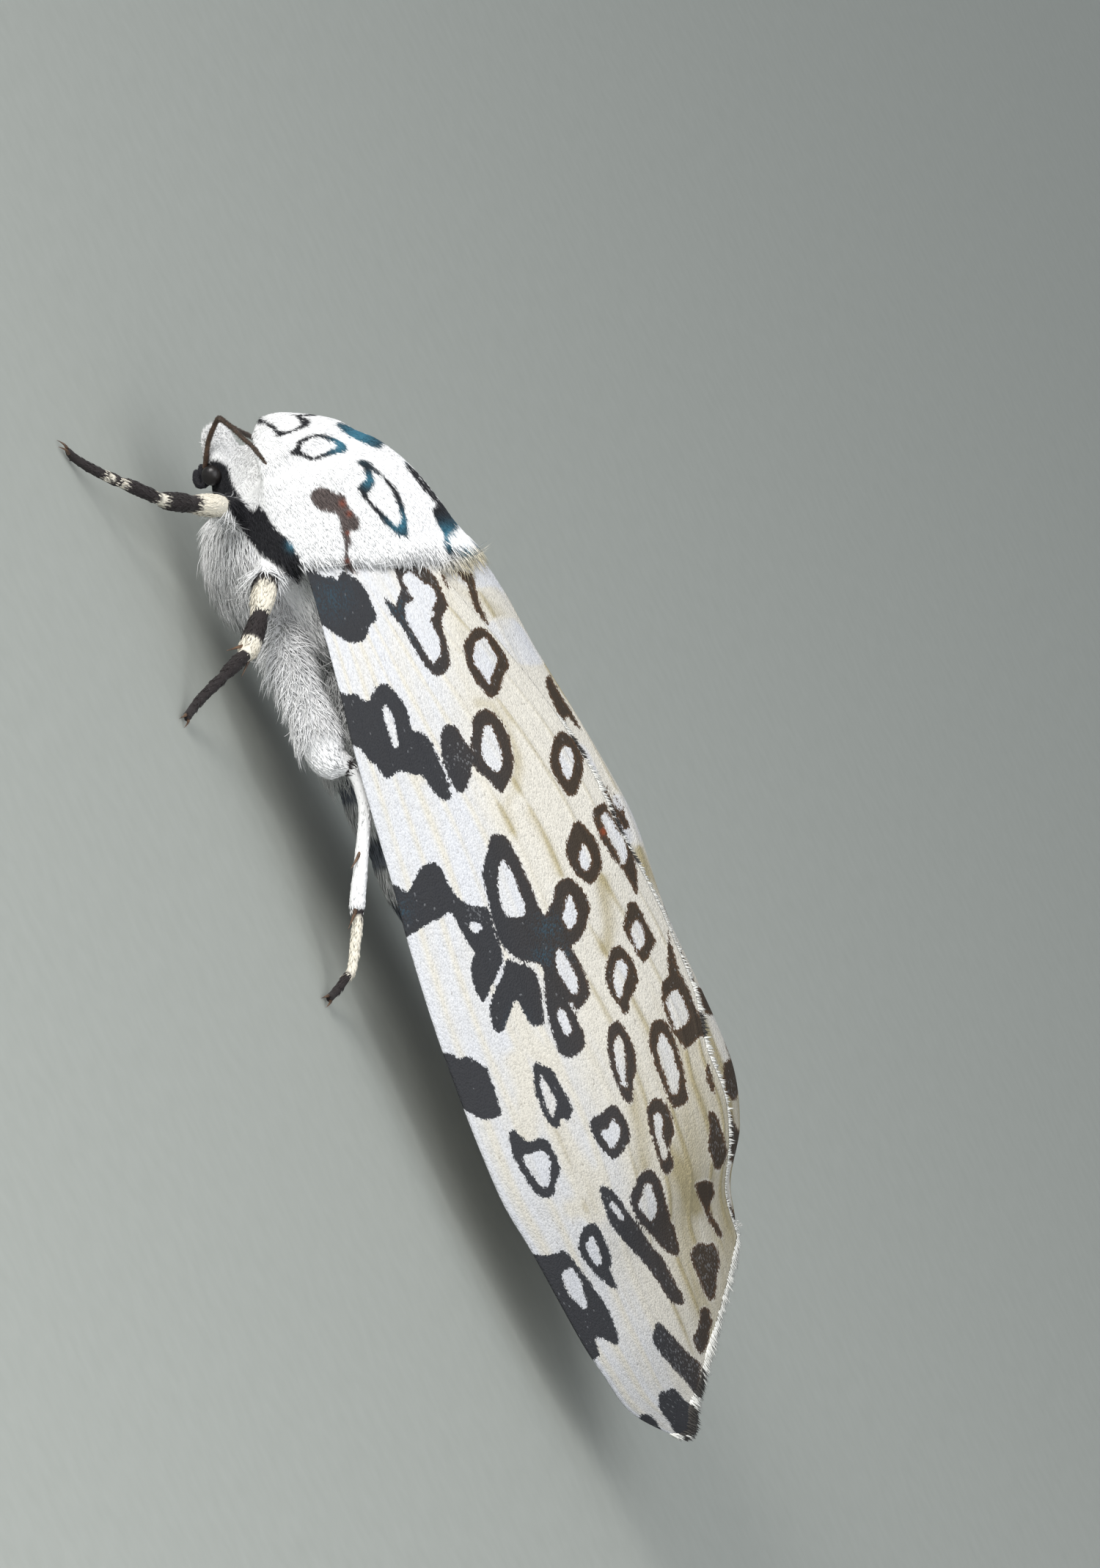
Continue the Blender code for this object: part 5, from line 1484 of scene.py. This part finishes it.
def make_camera():
    across = ROLL[0] * RIGHT + ROLL[1] * UP
    above = -ROLL[1] * RIGHT + ROLL[0] * UP
    s = (ROLL[0] * PICTURE[0] + ROLL[1] * PICTURE[1]) / 2
    t = (ROLL[1] * PICTURE[0] - ROLL[0] * PICTURE[1]) / 2
    middle = RIGHT * (s / PX_PER_MM - PX_ORIGIN[0]) + UP * (t / PX_PER_MM - PX_ORIGIN[1])
    place = middle + TOWARD * FAR_AWAY + np.array([SHIFT_X, 0, 0])
    data = bpy.data.cameras.new("camera")
    data.sensor_fit = "VERTICAL"
    data.sensor_height = 24.0
    data.lens = 24.0 * FAR_AWAY / (PICTURE[1] / PX_PER_MM)
    data.clip_start = 0.01
    data.clip_end = 20.0
    camera = new_object("camera", data)
    columns = np.stack([across, above, TOWARD], axis=1)
    matrix = Matrix(columns.tolist()).to_4x4()
    matrix.translation = Vector(place * MM)
    camera.matrix_world = matrix
    bpy.context.scene.camera = camera
    return across, above


def make_light(name, place, size, power, colour):
    data = bpy.data.lights.new(name, "AREA")
    data.size = size
    data.energy = power
    data.color = colour
    light = new_object(name, data)
    light.location = place
    light.rotation_euler = (-Vector(place)).to_track_quat("-Z", "Y").to_euler()


def make_stage(across, above):
    mesh = bpy.data.meshes.new("floor")
    mesh.from_pydata([(-3, -3, 0), (3, -3, 0), (3, 3, 0), (-3, 3, 0)], [], [(0, 1, 2, 3)])
    floor = new_object("floor", mesh)
    made, tree, shader = new_material("floor_paper", 0.75)
    grain = noise(tree, own_place(tree), 900.0, 3.0)
    plug(tree, shader, blend_colour(tree, grain, FLOOR_LOW, FLOOR_HIGH), None, grain, 0.0001, 0.1)
    mesh.materials.append(made)
    world = bpy.data.worlds.new("studio")
    world.use_nodes = True
    background = world.node_tree.nodes["Background"]
    background.inputs[0].default_value = SKY_COLOUR
    background.inputs[1].default_value = SKY
    bpy.context.scene.world = world
    bpy.context.scene.view_settings.view_transform = "Standard"
    for name, (side, up, near), size, power, colour in LIGHTS:
        make_light(name, side * across + up * above + near * TOWARD, size, power, colour)


def main():
    forewing("forewing_left", -1, UPPER_EDGE, LAP_STEP, 0.0)
    forewing("forewing_right", 1, LOWER_EDGE, -LAP_STEP, LOWER_TIP_SHIFT)
    hindwing("hindwing_left", -1)
    hindwing("hindwing_right", 1)
    make_coat(*make_skin())
    make_eye("eye_left", -1)
    make_eye("eye_right", 1)
    make_feeler("antenna_left", ANTENNA)
    make_feeler("antenna_right", FAR_ANTENNA)
    make_palp("palp_left", PALP)
    make_palp("palp_right", mirror(PALP))
    for leg, path in zip(LEG_NODES, LEG_PATHS):
        make_horns(leg + "_claws", leg, path, SPURS[leg.split("_")[1]])
    make_stage(*make_camera())


LEG_PATHS = [smooth_path(path)
             for path in (FORE_LEG, MID_LEG, HIND_LEG, FAR_FORE_LEG, mirror(MID_LEG), mirror(HIND_LEG))]
LEG_NODES = [f"leg_{leg}_{side}" for side in ("left", "right") for leg in SPURS]
WING_FIELD = Field(WING_MARKS)
RING_FIELD = Field([row[:1] for row in WING_MARKS])
STRIP_FIELD = Field(STRIP_MARKS)
THORAX_FIELD = Field(THORAX_MARKS)
SHOULDER_FIELD = Field(SHOULDER_MARKS)
STRIPE_FIELD = Field(SIDE_STRIPE)
WING_SCALES = wing_material("wing_scales", False)
HIND_SCALES = wing_material("hindwing_scales", True)
HAIR = hair_material("hair", 0.6, 0.06, 9000.0)
SKIN = hair_material("skin_coat", 0.7, 0.05, 14000.0)
EYE = eye_material()
FEELER = horn_material("feeler_horn", (0.03, 0.018, 0.012, 1), (0.09, 0.05, 0.03, 1), 0.4)
PALP_HORN = horn_material("palp_horn", (0.012, 0.012, 0.012, 1), (0.04, 0.035, 0.03, 1), 0.5)
HORN = horn_material("claw_horn", (0.05, 0.03, 0.02, 1), (0.16, 0.09, 0.05, 1), 0.25)
main()
